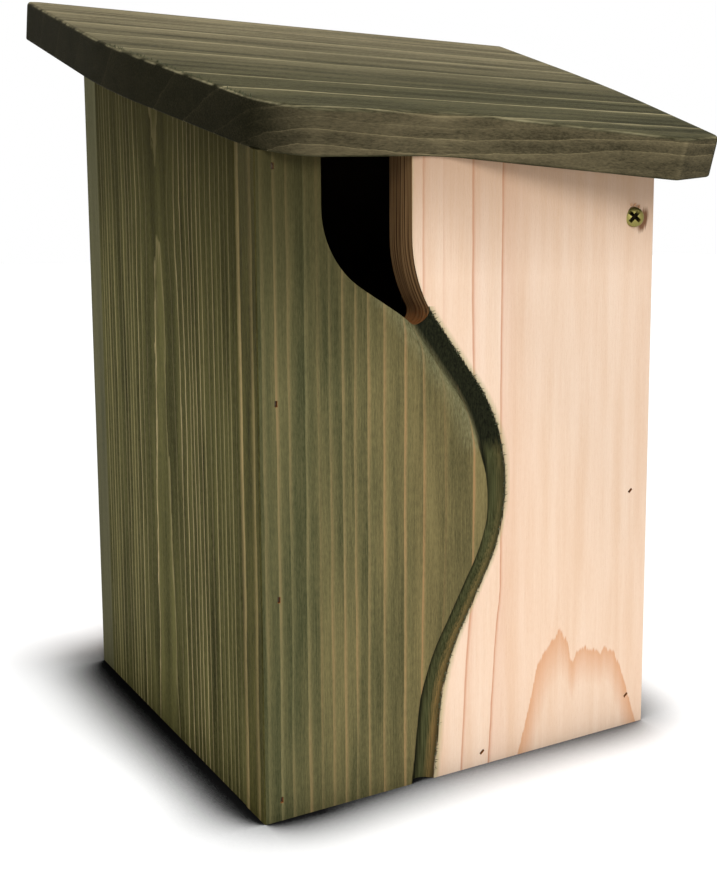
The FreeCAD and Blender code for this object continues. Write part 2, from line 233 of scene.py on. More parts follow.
for name, source, strength, spread in (
    ("top_light", (0.0, -0.12, 1.0), 3.4, 10.0),
    ("front_light", (-0.30, -1.0, 0.55), 1.65, 35.0),
    ("left_light", (-1.0, -0.10, 0.0), 1.45, 40.0),
):
    lamp = bpy.data.lights.new(name, "SUN")
    lamp.energy = strength
    lamp.angle = math.radians(spread)
    lamp_object = bpy.data.objects.new(name, lamp)
    lamp_object.rotation_euler = Vector(source).to_track_quat("Z", "Y").to_euler()
    scene.collection.objects.link(lamp_object)

# %% [markdown]
# ## How a board was sawn out of its tree
# Each board keeps the tree's growth rings. The rings are cylinders around the pith, which wander a
# little and lean against the board, so a face shows straight lines far from the pith and pointed
# arches above it, and an end shows arcs. Describing the tree, not the picture of it, gives every
# face and edge a figure that runs on round the corner. The dense late wood of each ring is a thin
# line: darker than the rest on bare wood, lighter on stained wood because it takes less stain.

# %% Growth rings
GRAIN_SPAN = 320.0
BOW_SPAN = 40.0
SWAY_SIDE = (-78.0, -52.0)
JAG = 2.0
RADIUS_SPAN = 200.0
RING_SPAN = 60.0
WIDEST_LINE = 0.6
FAINTEST_LINE = 0.2
RIPENING_POWER = 3.0
LINE_PROFILE = ((0.0, 0.0), (0.4, 0.4), (0.7, 1.0), (0.85, 0.9), (1.0, 0.3))
DRIFT = (0.08, 0.08, 0.012)
TEXTURES = {"fibre": ((2.4, 2.4, 0.04), 4.0, 0.65, 0.28, 0.72),
            "blotch": ((0.16, 0.16, 0.010), 5.0, 0.6, 0.3, 0.7),
            "pore": ((1.8, 1.8, 0.4), 3.0, 0.7, 0.3, 0.7)}


def ring_radii(seed, first, last, least, most):
    """Radii of a tree's rings, unevenly spaced as good and bad summers leave them."""
    rng = random.Random(seed)
    radii = [first]
    while radii[-1] < last:
        radii.append(radii[-1] + rng.uniform(least, most))
    return radii


def growth_rings(add, turn, pith, face, radii, wander, shown=1.5, bow=None, bow_width=30.0, least=0.3,
                 sway=None):
    """Wood figure of a board: late wood lines, textures along the grain, and places in the box.

    turn lays the board's width on X, its thickness on Y and the grain on Z; pith is the middle of
    the tree in those axes and face its distance from the board's face. A late wood line is about
    shown wide on that face. bow lists (height along the grain, inward dent of the rings) above the
    pith, where a dent draws arches; sway lists (height, shift along X) of the lines beside the pith.
    """
    place = add("TexCoord").outputs["Object"]
    wood = {"place": add("VectorMath", [place, (1 / MM, 1 / MM, 1 / MM)], "MULTIPLY")}
    for axis, socket in zip("xyz", add("SeparateXYZ", [wood["place"]]).outputs):
        wood[axis] = socket
    board = add("Mapping", {"Vector": place, "Scale": (1 / MM, 1 / MM, 1 / MM), "Rotation": turn.to_euler(),
                            "Location": (-pith[0], -pith[1], 0.0)})
    x, y, z = add("SeparateXYZ", [board]).outputs
    along = add("Math", [z, GRAIN_SPAN], "DIVIDE")
    bends = {}
    for name, bend in (("sway", sway), ("bow", bow)):
        if bend:
            curve = add("FloatCurve", {"Value": along},
                        points=[(height / GRAIN_SPAN, shift / BOW_SPAN + 0.5) for height, shift in bend])
            bends[name] = add("Math", [curve, BOW_SPAN, -BOW_SPAN / 2], "MULTIPLY_ADD")
    beside = x
    if sway:
        shift = add("Math", [bends["sway"], add("MapRange", [x, *SWAY_SIDE])], "MULTIPLY")
        beside = add("Math", [x, shift], "SUBTRACT")
    radius = add("VectorMath", [add("CombineXYZ", [beside, y])], "LENGTH")
    slow = add("VectorMath", [board, DRIFT], "MULTIPLY")
    drift = add("TexNoise", {"Vector": slow, "Scale": 1.0, "Detail": 5.0, "Roughness": 0.6})
    drift = add("Math", [drift, 0.5], "SUBTRACT")
    if bow:
        near = add("Math", [add("Math", [x, bow_width], "DIVIDE"), 2.0], "POWER")
        near = add("Math", [math.exp(-1.0), near], "POWER")
        dent = add("Math", [bends["bow"], near], "MULTIPLY")
        radius = add("Math", [radius, dent], "SUBTRACT")
        drift = add("Math", [drift, add("Math", [near, JAG, 1.0], "MULTIPLY_ADD")], "MULTIPLY")
    radius = add("Math", [drift, wander, radius], "MULTIPLY_ADD")
    share = add("Math", [radius, RADIUS_SPAN], "DIVIDE")
    count = add("FloatCurve", {"Value": share},
                points=[(r / RADIUS_SPAN, i / RING_SPAN) for i, r in enumerate(radii)])
    rings = add("Math", [count, RING_SPAN], "MULTIPLY")
    season = add("Math", [rings], "FRACT")
    widths = []
    for inner, outer in zip(radii, radii[1:]):
        thick = max(least, shown * math.sqrt(max(0.0, outer ** 2 - face ** 2)) / outer)
        widths.append((outer / RADIUS_SPAN, min(WIDEST_LINE, thick / (outer - inner))))
    width = add("FloatCurve", {"Value": share}, points=widths)
    line = add("MapRange", [season, add("Math", [1.0, width], "SUBTRACT"), 1.0])
    line = add("ValToRGB", [line], stops=LINE_PROFILE)
    summer = add("TexWhiteNoise", {"W": add("Math", [rings], "FLOOR")}, noise_dimensions="1D")
    summer = add("MapRange", [summer, 0.0, 1.0, FAINTEST_LINE, 1.0])
    wood["line"] = add("Math", [line, summer], "MULTIPLY")
    wood["ripening"] = add("Math", [add("Math", [season, RIPENING_POWER], "POWER"), summer], "MULTIPLY")
    for name, (stretch, detail, roughness, low, high) in TEXTURES.items():
        stretched = add("VectorMath", [board, stretch], "MULTIPLY")
        noise = add("TexNoise", {"Vector": stretched, "Scale": 1.0, "Detail": detail, "Roughness": roughness})
        wood[name] = add("MapRange", [noise, low, high])
    return wood


UPRIGHT = Matrix.Identity(3)
SIDEWAYS = Matrix(((0, 1, 0), (-1, 0, 0), (0, 0, 1)))
ACROSS = Matrix(((0, 1, 0), (0, 0, 1), (1, 0, 0)))
ALONG_ROOF = ACROSS @ Matrix.Rotation(-ROOF_SLOPE, 3, "X")
print("textures along the grain:", list(TEXTURES))

# %% [markdown]
# ## Finishes
# Bare planed softwood, olive-green stain, dark stain on the roof, yellow-zinc and plain steel.
# Stain sinks into the soft early wood and into end grain, so both go darker than the hard lines.
# Every look is built from the same figure, so bare and stained wood can meet on one board.


# %% Looks of wood
def bare_look(add, wood, pale="#f2d8c1", deep="#e7c6a9", late="#c4906c", late_share=0.75):
    """Planed softwood: pale and pinkish, deepening through each ring to a thin pink-brown line."""
    streak = add("Math", [wood["fibre"], 0.45, wood["blotch"]], "MULTIPLY_ADD")
    streak = add("Math", [wood["pore"], 0.4, streak], "MULTIPLY_ADD")
    early = add("Mix", [add("MapRange", [streak, 0.35, 1.5]), linear(deep), linear(pale)], "RGBA")
    share = add("Math", [wood["ripening"], 0.28], "MULTIPLY")
    share = add("Math", [wood["line"], late_share, share], "MULTIPLY_ADD", use_clamp=True)
    return add("Mix", [share, early, linear(late)], "RGBA")


def stained_look(add, wood, dark, pale, late, late_share, end):
    """Stained softwood: mottled early wood, lighter late wood lines, dark end grain."""
    mottle = wood["blotch"]
    for texture, weight in (("fibre", 0.6), ("pore", 0.7), ("ripening", 0.9)):
        mottle = add("Math", [wood[texture], weight, mottle], "MULTIPLY_ADD")
    early = add("Mix", [add("MapRange", [mottle, 0.55, 2.0]), linear(dark), linear(pale)], "RGBA")
    uneven = add("Math", [wood["pore"], 0.5, wood["blotch"]], "MULTIPLY_ADD")
    uneven = add("MapRange", [uneven, 0.0, 1.3, 0.3 * late_share, late_share])
    share = add("Math", [wood["line"], uneven], "MULTIPLY")
    face = add("Mix", [share, early, linear(late)], "RGBA")
    facing = add("Attribute", attribute_name="end_grain").outputs["Fac"]
    soak_and_shadow = add("MapRange", [wood["pore"], 0.0, 1.0, 0.98, 0.84])
    across = add("MapRange", [facing, 0.05, 0.85, 0.0, soak_and_shadow])
    return add("Mix", [across, face, linear(end)], "RGBA")


def wood_surface(add, shader, wood, colour, sheen, relief):
    """Colour, dull sheen and the relief that the planer and the weather leave in the fibres."""
    rough = add("Math", [wood["fibre"], wood["pore"]], "ADD")
    bump = add("Bump", {"Height": rough, "Strength": 1.0, "Distance": relief * MM})
    fill(shader, {"Base Color": colour, "Roughness": 0.75, "Specular IOR Level": sheen, "Normal": bump})


def under_roof(add, wood, start, most):
    """Share of painted shade under the roof's overhang: grows from a start, in millimetres under the roof, to most
    at the roof itself.
    """
    slope = add("Math", [wood["y"], -math.tan(ROOF_SLOPE), wood["z"]], "MULTIPLY_ADD")
    roof_line = FRONT_HEIGHT - FRONT * math.tan(ROOF_SLOPE)
    return add("MapRange", [slope, roof_line - start, roof_line, 0.0, most])


def shaded_inside(add, wood, look):
    """Look of a board, darkened by painted shade where it lies inside the box."""
    inside = 1.0
    for axis, half in (("x", RIGHT), ("y", BACK)):
        away = add("Math", [wood[axis]], "ABSOLUTE")
        within = add("Math", [away, half - BOARD + 0.3], "LESS_THAN")
        inside = add("Math", [within, inside], "MULTIPLY")
    # Painted shade: inside the box the colour is mixed towards dark brown.
    return add("Mix", [inside, look, linear("#4a3a2c")], "RGBA")


# %% [markdown]
# ### Bare boards
# The lower right side, the cleaning door and the floor are planed and left as they are: pale, a little
# pink, with thin brown lines, so the eye takes them for wood that never met a brush. Each board has a
# pith and a seed; the door has those of the board under it, because both were cut from one plank.

# %% Bare boards
BARE_FACE = 90.0
BARE_RINGS = (12.0, 190.0, 4.0, 10.0)
bare_boards = {}
for name, turn, pith, seed in (
    ("lower_right_panel", SIDEWAYS, (10.0, 10.0), 4),
    ("cleaning_door", SIDEWAYS, (10.0, 10.0), 4),
    ("floor_panel", ACROSS, (20.0, -60.0), 6),
):
    # Planed and bare: the eye sees dry, pale wood with a soft sheen only where light grazes it.
    bare_boards[name], add, shader = new_material("bare_softwood_" + name)
    wood = growth_rings(add, turn, pith, BARE_FACE, ring_radii(seed, *BARE_RINGS), wander=2.5)
    look = shaded_inside(add, wood, bare_look(add, wood))
    wood_surface(add, shader, wood, look, sheen=0.05, relief=0.05)
print("bare boards:", list(bare_boards))

# %% [markdown]
# ### Back
# The same bare wood. The brush for the left side also ran over the back's left end, so that end is
# green; it gives the eye a left side that seems to go on to the very corner.

# %% Back, bare with a stained left end
# Bare like the others, with one brushed end: the eye follows the green round the corner.
back_finish, add, shader = new_material("bare_softwood_stained_end")
wood = growth_rings(add, UPRIGHT, (-30.0, -3.0), BARE_FACE, ring_radii(3, *BARE_RINGS), wander=2.5)
stained_end = add("Math", [wood["x"], LEFT + 0.9], "LESS_THAN")
green = stained_look(add, wood, "#45442c", "#5f5b40", "#6b6344", 0.5, "#45442c")
both = add("Mix", [stained_end, bare_look(add, wood), green], "RGBA")
wood_surface(add, shader, wood, shaded_inside(add, wood, both), sheen=0.05, relief=0.06)
print("back:", len(back_finish.node_tree.nodes), "nodes")

# %% [markdown]
# ### Green stain on the left side
# A thin olive stain lets the figure through: soft wood drinks it and goes dark, hard lines stay the
# colour of straw. LEFT_LINES tells how far those lines lie from the pith's place on the face, and
# LEFT_BOLDNESS how bold they are from the front edge to the back edge. Under the roof painted shade darkens it.

# %% Green stain on the left side
LEFT_PITH_DEPTH = 45.0
LEFT_PITH_PLACE = 88.0
LEFT_INNER_RINGS = [10.0, 22.0, 34.0, 41.0, LEFT_PITH_DEPTH]
LEFT_LINES = (13.0, 19.0, 24.0, 29.0, 32.5, 36.0, 40.0, 43.5, 48.5, 53.0, 57.0, 60.5, 64.0, 67.0, 71.0, 75.0,
              78.0, 83.0, 87.0, 91.0, 96.0)
LEFT_BOW = ((0.0, 1.4), (100.0, 0.8), (150.0, 0.5), (171.0, 0.35), (188.0, 0.0), (200.0, -0.25), (213.0, 0.0),
            (240.0, 0.45))
LEFT_BOLDNESS = ((0.0, 0.6), (15.0, 0.4), (32.0, 0.4), (37.0, 0.9), (46.0, 0.9), (54.0, 1.0), (74.0, 0.9),
                 (79.0, 0.3), (90.0, 0.3), (94.0, 1.0), (101.0, 1.0), (105.0, 0.35), (111.0, 0.7),
                 (143.0, 0.6), (152.0, 0.4), (174.0, 0.3))
# Thin olive stain: the eye sees dye in the wood, not paint on it.
left_stain, add, shader = new_material("green_stained_softwood")
wood = growth_rings(add, SIDEWAYS, (FRONT + LEFT_PITH_PLACE, -LEFT - LEFT_PITH_DEPTH), LEFT_PITH_DEPTH,
                    LEFT_INNER_RINGS + [math.hypot(line, LEFT_PITH_DEPTH) for line in LEFT_LINES],
                    wander=0.7, shown=1.0, bow=LEFT_BOW, bow_width=60.0, least=0.4)
depth = add("MapRange", [wood["y"], FRONT, BACK])
bold = add("FloatCurve", {"Value": depth},
           points=[(place / (BACK - FRONT), share) for place, share in LEFT_BOLDNESS])
wood["line"] = add("Math", [wood["line"], bold], "MULTIPLY")
green = stained_look(add, wood, "#262510", "#66623a", "#d0b98c", 1.0, "#2c2b1a")
# Painted shade: the stain goes darker towards the roof, where its overhang keeps the light off.
roof_shaded = add("Mix", [under_roof(add, wood, start=95.0, most=0.82), green, linear("#262109")], "RGBA")
wood_surface(add, shader, wood, shaded_inside(add, wood, roof_shaded), sheen=0.02, relief=0.1)
print("left side:", len(LEFT_LINES), "lines on each side of the pith")

# %% [markdown]
# ### Dark stain on the roof
# The same stain in more coats, nearly black on the end grain. Sun and rain have paled it towards the
# back, the sawn edges are earthier and the top arris is rubbed. It gives the eye an old, dry, matt
# board. The attributes that tell edge and arris are written when the roof is made.

# %% Dark stain on the roof
ROOF_FACE = 80.0
ROOF_PITH_PLACE, ROOF_PITH_HEIGHT = -60.0, 165.0
ROOF_INNER_RINGS = [20.0, 45.0, 70.0, 76.0, 80.0, 84.0]
ROOF_LINES = (-25.0, -2.6, 19.0, 57.8, 87.0, 112.0, 134.0)
# Dark stain gone matt: the eye sees weather, most of all where the top is paler than the edges.
roof_stain, add, shader = new_material("dark_stained_softwood")
wood = growth_rings(add, ALONG_ROOF, (ROOF_PITH_PLACE, ROOF_PITH_HEIGHT), ROOF_FACE,
                    ROOF_INNER_RINGS + [math.hypot(line - ROOF_PITH_PLACE, ROOF_FACE) for line in ROOF_LINES],
                    wander=5.0, shown=1.6)
dark = stained_look(add, wood, "#212114", "#57533c", "#ada17d", 0.9, "#0a0b03")
weathered = stained_look(add, wood, "#423d2d", "#8a8064", "#b9ab8a", 0.85, "#0c0c05")
earthy = stained_look(add, wood, "#474130", "#83775a", "#a4956f", 0.8, "#0a0b03")
near_end = add("MapRange", [wood["x"], LEFT - 12.0, LEFT + 55.0, 0.6, 0.0])
earthy = add("Mix", [near_end, earthy, linear("#1c1b10")], "RGBA")
exposed = add("MapRange", [wood["y"], -60.0, 80.0])
on_edge = add("Attribute", attribute_name="side").outputs["Fac"]
on_edge = add("MapRange", [on_edge, 0.4, 0.9, 0.0, 0.8])
on_arris = add("Attribute", attribute_name="worn").outputs["Fac"]
patchy = add("MapRange", [wood["blotch"], 0.35, 0.9, 0.0, 0.45])
rubbed = add("Math", [on_arris, patchy], "MULTIPLY")
look = dark
for share, coat in ((exposed, weathered), (on_edge, earthy), (rubbed, linear("#b5ab86"))):
    look = add("Mix", [share, look, coat], "RGBA")
wood_surface(add, shader, wood, look, sheen=0.02, relief=0.15)
print("roof:", len(ROOF_LINES), "lines on its top")

# %% [markdown]
# ### Two-tone front: its bare wood
# One board, its lines run on across the groove. Low on the right the face cuts along a dark ring,
# which shows as a brown patch: sharp and toothed along its top, fading downwards. PATCH_TOP and
# PATCH_FADE give its height and its fade from left to right. Inside the entrance the saw has left stripes;
# those walls and the brad slots are painted brown, part sawn wood and part painted shade.

# %% Bare wood of the front
PITH_BEHIND_FRONT = 70.0
FRONT_PITH_PLACE = 131.0
FRONT_INNER_RINGS = [30.0, 50.0, 68.0]
FRONT_LINES = (-9.0, -4.0, 1.4, 5.9, 10.1, 16.1, 20.3, 24.5, 29.2, 33.6, 38.3, 44.1, 52.3, 59.3, 67.4, 79.0, 90.5)
FRONT_SWAY = ((0.0, -4.2), (40.0, -1.6), (65.0, 0.5), (100.0, 1.2), (150.0, 0.3), (214.0, 0.0), (GRAIN_SPAN, 0.0))
PATCH_TOP = ((98.5, -6.0), (100.5, 1.0), (103.4, 10.8), (106.4, 21.9), (108.6, 31.9), (111.6, 35.9), (114.7, 39.9),
             (117.0, 41.4), (118.9, 44.6), (120.7, 40.7), (122.7, 39.0), (124.0, 31.5), (125.3, 29.9),
             (126.8, 33.6), (130.9, 35.5), (132.2, 33.7), (136.7, 32.8), (138.4, 30.7), (140.4, 33.7),
             (141.8, 31.9), (145.2, 30.8), (146.1, 27.2), (147.9, 25.5), (149.8, 19.7), (151.6, 15.2),
             (153.5, 9.3), (156.4, 1.0), (159.0, -8.0))
PATCH_FADE = ((98.0, 34.0), (108.0, 30.0), (113.0, 22.0), (119.0, 20.0), (125.0, 16.0), (142.0, 15.0),
              (147.0, 21.0), (151.0, 24.0), (160.0, 26.0))
PATCH_SPAN, PATCH_BASE = 60.0, 0.2
PATCH_TEETH = 3.0
SAW_STRIPES = (0.05, 1.3, 0.015)
TIP = (162.5, 168.0)
# Bare and stained on one board: the eye sees a sharp bright half beside a soft dark one.
front_finish, add, shader = new_material("two_tone_softwood")
lines = sorted(math.hypot(place - FRONT_PITH_PLACE, PITH_BEHIND_FRONT) for place in FRONT_LINES)
wood = growth_rings(add, UPRIGHT, (LEFT + FRONT_PITH_PLACE, FRONT + PITH_BEHIND_FRONT), PITH_BEHIND_FRONT,
                    FRONT_INNER_RINGS + lines, wander=1.6, shown=1.6, sway=FRONT_SWAY)
width = add("MapRange", [wood["x"], LEFT, RIGHT])
top = add("FloatCurve", {"Value": width},
          points=[(x / (RIGHT - LEFT), z / PATCH_SPAN + PATCH_BASE) for x, z in PATCH_TOP])
top = add("Math", [top, PATCH_SPAN, -PATCH_BASE * PATCH_SPAN], "MULTIPLY_ADD")
teeth = add("Math", [wood["fibre"], PATCH_TEETH, top], "MULTIPLY_ADD")
under = add("Math", [teeth, wood["z"]], "SUBTRACT")
fade = add("FloatCurve", {"Value": width},
           points=[(x / (RIGHT - LEFT), depth / PATCH_SPAN) for x, depth in PATCH_FADE])
gone = add("Math", [under, fade], "DIVIDE")
patch = add("MapRange", [under, 1.0, 2.0])
for share in (add("MapRange", [gone, 2.0, PATCH_SPAN, 1.0, 0.0]),
              add("MapRange", [wood["fibre"], 0.0, 1.0, 0.6, 1.0])):
    patch = add("Math", [patch, share], "MULTIPLY")
stripes = add("VectorMath", [wood["place"], SAW_STRIPES], "MULTIPLY")
stripes = add("TexNoise", {"Vector": stripes, "Scale": 1.0, "Detail": 3.0, "Roughness": 0.6})
stripes = add("MapRange", [stripes, 0.38, 0.68])
# Painted shade in part: the entrance walls and slots are coloured darker brown than sawn wood alone.
brown = add("Mix", [stripes, linear("#4a3420"), linear("#a58258")], "RGBA")
tip = add("Math", [wood["pore"], 7.0, wood["z"]], "MULTIPLY_ADD")
tip = add("MapRange", [tip, *TIP, 0.75, 0.0])
brown = add("Mix", [tip, brown, linear("#9c6234")], "RGBA")
sawn_and_shaded = add("Attribute", attribute_name="sawn_and_shaded").outputs["Fac"]
bare = bare_look(add, wood, late="#cb9070", late_share=0.74)
# The under-roof coat is painted shade: the bare wood goes darker and browner just under the roof.
for share, coat in ((patch, linear("#d5996d")),
                    (under_roof(add, wood, start=40.0, most=0.58), linear("#98704d")), (sawn_and_shaded, brown)):
    bare = add("Mix", [share, bare, coat], "RGBA")
print("front:", len(lines), "lines, patch of", len(PATCH_TOP), "points")

# %% [markdown]
# ### Two-tone front: its green stain
# The stain is yellower on the left and warmer towards the groove, thicker at the left corner and on
# the end, and painted shade darkens it under the roof. It was brushed up to the sharp right edge of the
# groove, where the fibres led it a little to and fro.

# %% Green stain of the front
end = add("Math", [wood["x"], LEFT + 0.4], "LESS_THAN")
yellower = stained_look(add, wood, "#42432a", "#75724c", "#a89a6c", 0.56, "#4a4629")
warmer = stained_look(add, wood, "#4d462c", "#82764d", "#c2865c", 0.56, "#4a4629")
on_end = stained_look(add, wood, "#27250f", "#5d582e", "#b39a6c", 0.8, "#2c2b1a")
warm = add("MapRange", [wood["x"], LEFT + 5.0, LEFT + 65.0, -0.2, 0.6])
warm = add("Math", [wood["blotch"], 0.7, warm], "MULTIPLY_ADD", use_clamp=True)
thick = add("MapRange", [wood["x"], LEFT, LEFT + 40.0, 0.32, 0.0])
stained = yellower
# The last coat is painted shade under the roof, not stain.
for share, coat in ((warm, warmer), (thick, linear("#262a18")), (end, on_end),
                    (under_roof(add, wood, start=75.0, most=0.75), linear("#2e2812"))):
    stained = add("Mix", [share, stained, coat], "RGBA")
height = add("Math", [wood["z"], GRAIN_SPAN], "DIVIDE")
border = add("FloatCurve", {"Value": height},
             points=[(z / GRAIN_SPAN, (x - LEFT) / (RIGHT - LEFT)) for x, z in reversed(S_POINTS) if z > -2.0])
border = add("Math", [border, RIGHT - LEFT, LEFT], "MULTIPLY_ADD")
past = add("Math", [wood["x"], border], "SUBTRACT")
past = add("Math", [past, add("Math", [wood["fibre"], 0.9, -0.5], "MULTIPLY_ADD")], "ADD")
above = add("Math", [wood["z"], GROOVE_TOP], "GREATER_THAN")
past = add("Math", [above, 2.0, past], "MULTIPLY_ADD")
shallow = add("Math", [wood["y"], FRONT + GROOVE_DEPTH + 1.0], "LESS_THAN")
outside = add("Math", [shallow, end], "MAXIMUM")
smooth = add("Math", [1.0, sawn_and_shaded], "SUBTRACT")
stain = add("MapRange", [past, 0.1, 0.6, 1.0, 0.0])
for share in (outside, smooth):
    stain = add("Math", [stain, share], "MULTIPLY")
print("stain ends along", len(S_POINTS), "points of the S line")

# %% [markdown]
# ### Two-tone front: the groove
# Places here are millimetres across the groove, 0 at its sharp right edge. In the upper half the cut
# is painted nearly black as the shadow of its right rim, with a soft rim and a painted highlight beside
# it; lower down the stain is thin, the brush has missed part of the right wall, and both edges are dark,
# the left one with painted shade under the rim. GROOVE_SHARES tells how much of its full width the
# groove has at each height. Past the edge the stain crept into the bare wood, and beside the screw a
# brown patch is the head's painted shadow. Together they give the eye a deep, hand-finished groove.

# %% Groove, creep and painted head shadow
GROOVE_SHARES = ((0.0, 1.0), (30.0, 0.96), (55.0, 0.74), (90.0, 0.72), (115.0, 1.0), (220.0, 1.0),
                 (GRAIN_SPAN, 1.0))
SHADOW_ABOVE = (116.0, 121.0)
SOFT_RIM, SHARP_RIM = (-10.0, -6.3), (-9.1, -8.7)
MISSED_WALL, MISSED_BELOW = (-3.0, -1.2), (30.0, 90.0)
LEFT_RIM_SHADE, RIGHT_LIP = (-6.6, -4.4), (-1.2, -0.2)
HIGHLIGHT_BAND, CREEP_BAND = (-19.0, -11.0), (0.5, 2.8)
HEAD_SHADOW_PLACE, HEAD_SHADOW_LEAN = (74.7, FRONT, 193.6), math.radians(20.0)
full = add("FloatCurve", {"Value": height}, points=[(z / GRAIN_SPAN, share) for z, share in GROOVE_SHARES])
past = add("Math", [past, full], "DIVIDE")
ragged = add("Math", [wood["fibre"], 6.0, wood["z"]], "MULTIPLY_ADD")
# Painted shadow: above the bend of the S line the groove is coloured nearly black, as the shadow of its right rim.
soak_and_shadow = add("MapRange", [ragged, *SHADOW_ABOVE])
sunk = add("Mix", [soak_and_shadow, add("MapRange", [past, *SHARP_RIM]), add("MapRange", [past, *SOFT_RIM])])
sunk = add("Math", [sunk, shallow], "MULTIPLY")
# Colour of the painted shadow in the groove's upper half.
shadow_black = add("Mix", [wood["pore"], linear("#0a0b05"), linear("#2a2c1c")], "RGBA")
hollow = add("Mix", [wood["fibre"], linear("#2c2d19"), linear("#5b5c3a")], "RGBA")
low = add("MapRange", [wood["z"], *MISSED_BELOW, 1.0, 0.25])
missed = add("MapRange", [past, *MISSED_WALL, 0.0, low])
missed = add("Math", [missed, wood["fibre"]], "MULTIPLY")
# Painted shade: a dark band along the groove's left edge, under the rim; the right lip is darkened as well.
brim = add("MapRange", [past, *LEFT_RIM_SHADE, 0.95, 0.0])
brim = add("Math", [brim, add("MapRange", [past, *RIGHT_LIP, 0.0, 0.7])], "MAXIMUM")
for share, coat in ((missed, linear("#8a6a3d")), (brim, linear("#15150b")), (soak_and_shadow, shadow_black)):
    hollow = add("Mix", [share, hollow, coat], "RGBA")
# Painted highlight: a paler band along the soft left rim, only in the upper half, where that rim faces the light.
rim_highlight = add("MapRange", [past, *HIGHLIGHT_BAND, 0.0, 0.6])
for share in (soak_and_shadow, wood["pore"]):
    rim_highlight = add("Math", [rim_highlight, share], "MULTIPLY")
for share, coat in ((rim_highlight, linear("#8a8a69")), (sunk, hollow)):
    stained = add("Mix", [share, stained, coat], "RGBA")
creep = add("MapRange", [past, *CREEP_BAND, 0.7, 0.0])
for share in (smooth, shallow, add("Math", [1.0, stain], "SUBTRACT")):
    creep = add("Math", [creep, share], "MULTIPLY")
# Painted shadow: a brown patch beside the screw, where its proud head keeps the light off.
head_shadow = add("Mapping", {"Vector": wood["place"], "Location": HEAD_SHADOW_PLACE, "Scale": (1.0, 1.0, 2.0),
                        "Rotation": (0.0, HEAD_SHADOW_LEAN, 0.0)}, vector_type="TEXTURE")
head_shadow = add("VectorMath", [head_shadow], "LENGTH")
head_shadow = add("Math", [wood["fibre"], -1.6, head_shadow], "MULTIPLY_ADD")
head_shadow = add("MapRange", [head_shadow, 0.8, 1.9, 0.9, 0.0])
look = bare
for share, coat in ((stain, stained), (creep, linear("#b0a97b")), (head_shadow, linear("#6e4426"))):
    look = add("Mix", [share, look, coat], "RGBA")
wood_surface(add, shader, wood, look, sheen=0.05, relief=0.06)
print("front finish:", len(front_finish.node_tree.nodes), "nodes")

# %% [markdown]
# ### Metals and torn fibres
# The screws are plated with yellow zinc: a warm gleam on the dome, painted nearly black as shade in the recess.
# Brads are plain steel, dulled by the stain, so they show as small dark strokes. Torn fibres are dull
# wood, green where the brush has met them and bare beside the screw.

# %% Metals and torn fibres
# Yellow zinc: the eye catches a small warm gleam on pale wood.
zinc, add, shader = new_material("yellow_zinc_steel")
recess = add("Attribute", attribute_name="recess").outputs["Fac"]
# Painted shade: the recess is coloured nearly black, darker the deeper it goes.
plated = add("Mix", [recess, linear("#857c47"), linear("#0e0a05")], "RGBA")
fill(shader, {"Base Color": plated, "Metallic": 1.0, "Roughness": 0.38})
plain = {}
for name, colour, metallic, roughness in (
    ("stained_torn_fibres", "#40432a", 0.0, 0.9),
    ("bare_torn_fibres", "#c79a72", 0.0, 0.9),
    ("brad_steel", "#4a3a2c", 0.6, 0.6),
):
    # Dull and dark, or dull and pale: the eye sees roughness more than colour.
    plain[name], add, shader = new_material(name)
    fill(shader, {"Base Color": linear(colour), "Metallic": metallic, "Roughness": roughness})
print("plain finishes:", list(plain))

# %% [markdown]
# ## Boards
# Sawn boards never have knife-sharp edges: a stroke of sandpaper takes the arris off. Each board is
# copied from the construction, its flat faces are made whole again and its long edges are eased.
# The front is made anew, because the groove's soft left rim is a shape of its own.

# %% Making a piece
SOFT_ANGLE, SHARP_ANGLE, FLAT_ANGLE = (math.radians(angle) for angle in (42.0, 40.0, 0.5))
WELD = 0.002
ARRIS, LONG_EDGE, ROOF_CLEAR = 0.4, 12.0, 1.0


def shade(mesh, grain):
    """Smooth normals that keep big faces flat, and how far each corner looks along the grain."""
    around = [[] for vertex in mesh.vertices]
    for polygon in mesh.polygons:
        polygon.use_smooth = True
        for vertex in polygon.vertices:
            around[vertex].append((polygon.normal.copy(), polygon.area))
    normals = []
    for polygon in mesh.polygons:
        for vertex in polygon.vertices:
            total = Vector()
            for normal, area in around[vertex]:
                if normal.angle(polygon.normal, math.pi) < SOFT_ANGLE:
                    total += normal * area
            normals.append(total.normalized() if total.length > 0 else polygon.normal.copy())
    mesh.normals_split_custom_set(normals)
    facing = mesh.attributes.new("end_grain", "FLOAT", "CORNER")
    facing.data.foreach_set("value", [abs(normal.dot(grain)) for normal in normals])


def as_piece(mesh, name, finish, grain, body, slot, *nodes):
    """Finished mesh as a piece that rides on a body and stands for construction nodes."""
    mesh.name = name
    mesh.materials.clear()
    mesh.materials.append(finish)
    shade(mesh, grain)
    piece = bpy.data.objects.new(name, mesh)
    scene.collection.objects.link(piece)
    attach(piece, body)
    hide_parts(*nodes)
    print(name, len(mesh.polygons), "faces")


def as_mesh(work, name):
    """Plain mesh of one that was worked on."""
    mesh = bpy.data.meshes.new(name)
    work.to_mesh(mesh)
    work.free()
    return mesh


def welded(node):
    """Construction node to work on, its faces joined at their corners."""
    work = bmesh.new()
    work.from_mesh(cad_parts[node].data)
    bmesh.ops.remove_doubles(work, verts=work.verts, dist=WELD * MM)
    return work


def whole_board(node):
    """Construction board to work on, its flat faces whole."""
    work = welded(node)
    bmesh.ops.dissolve_limit(work, angle_limit=FLAT_ANGLE, verts=work.verts, edges=work.edges)
    return work


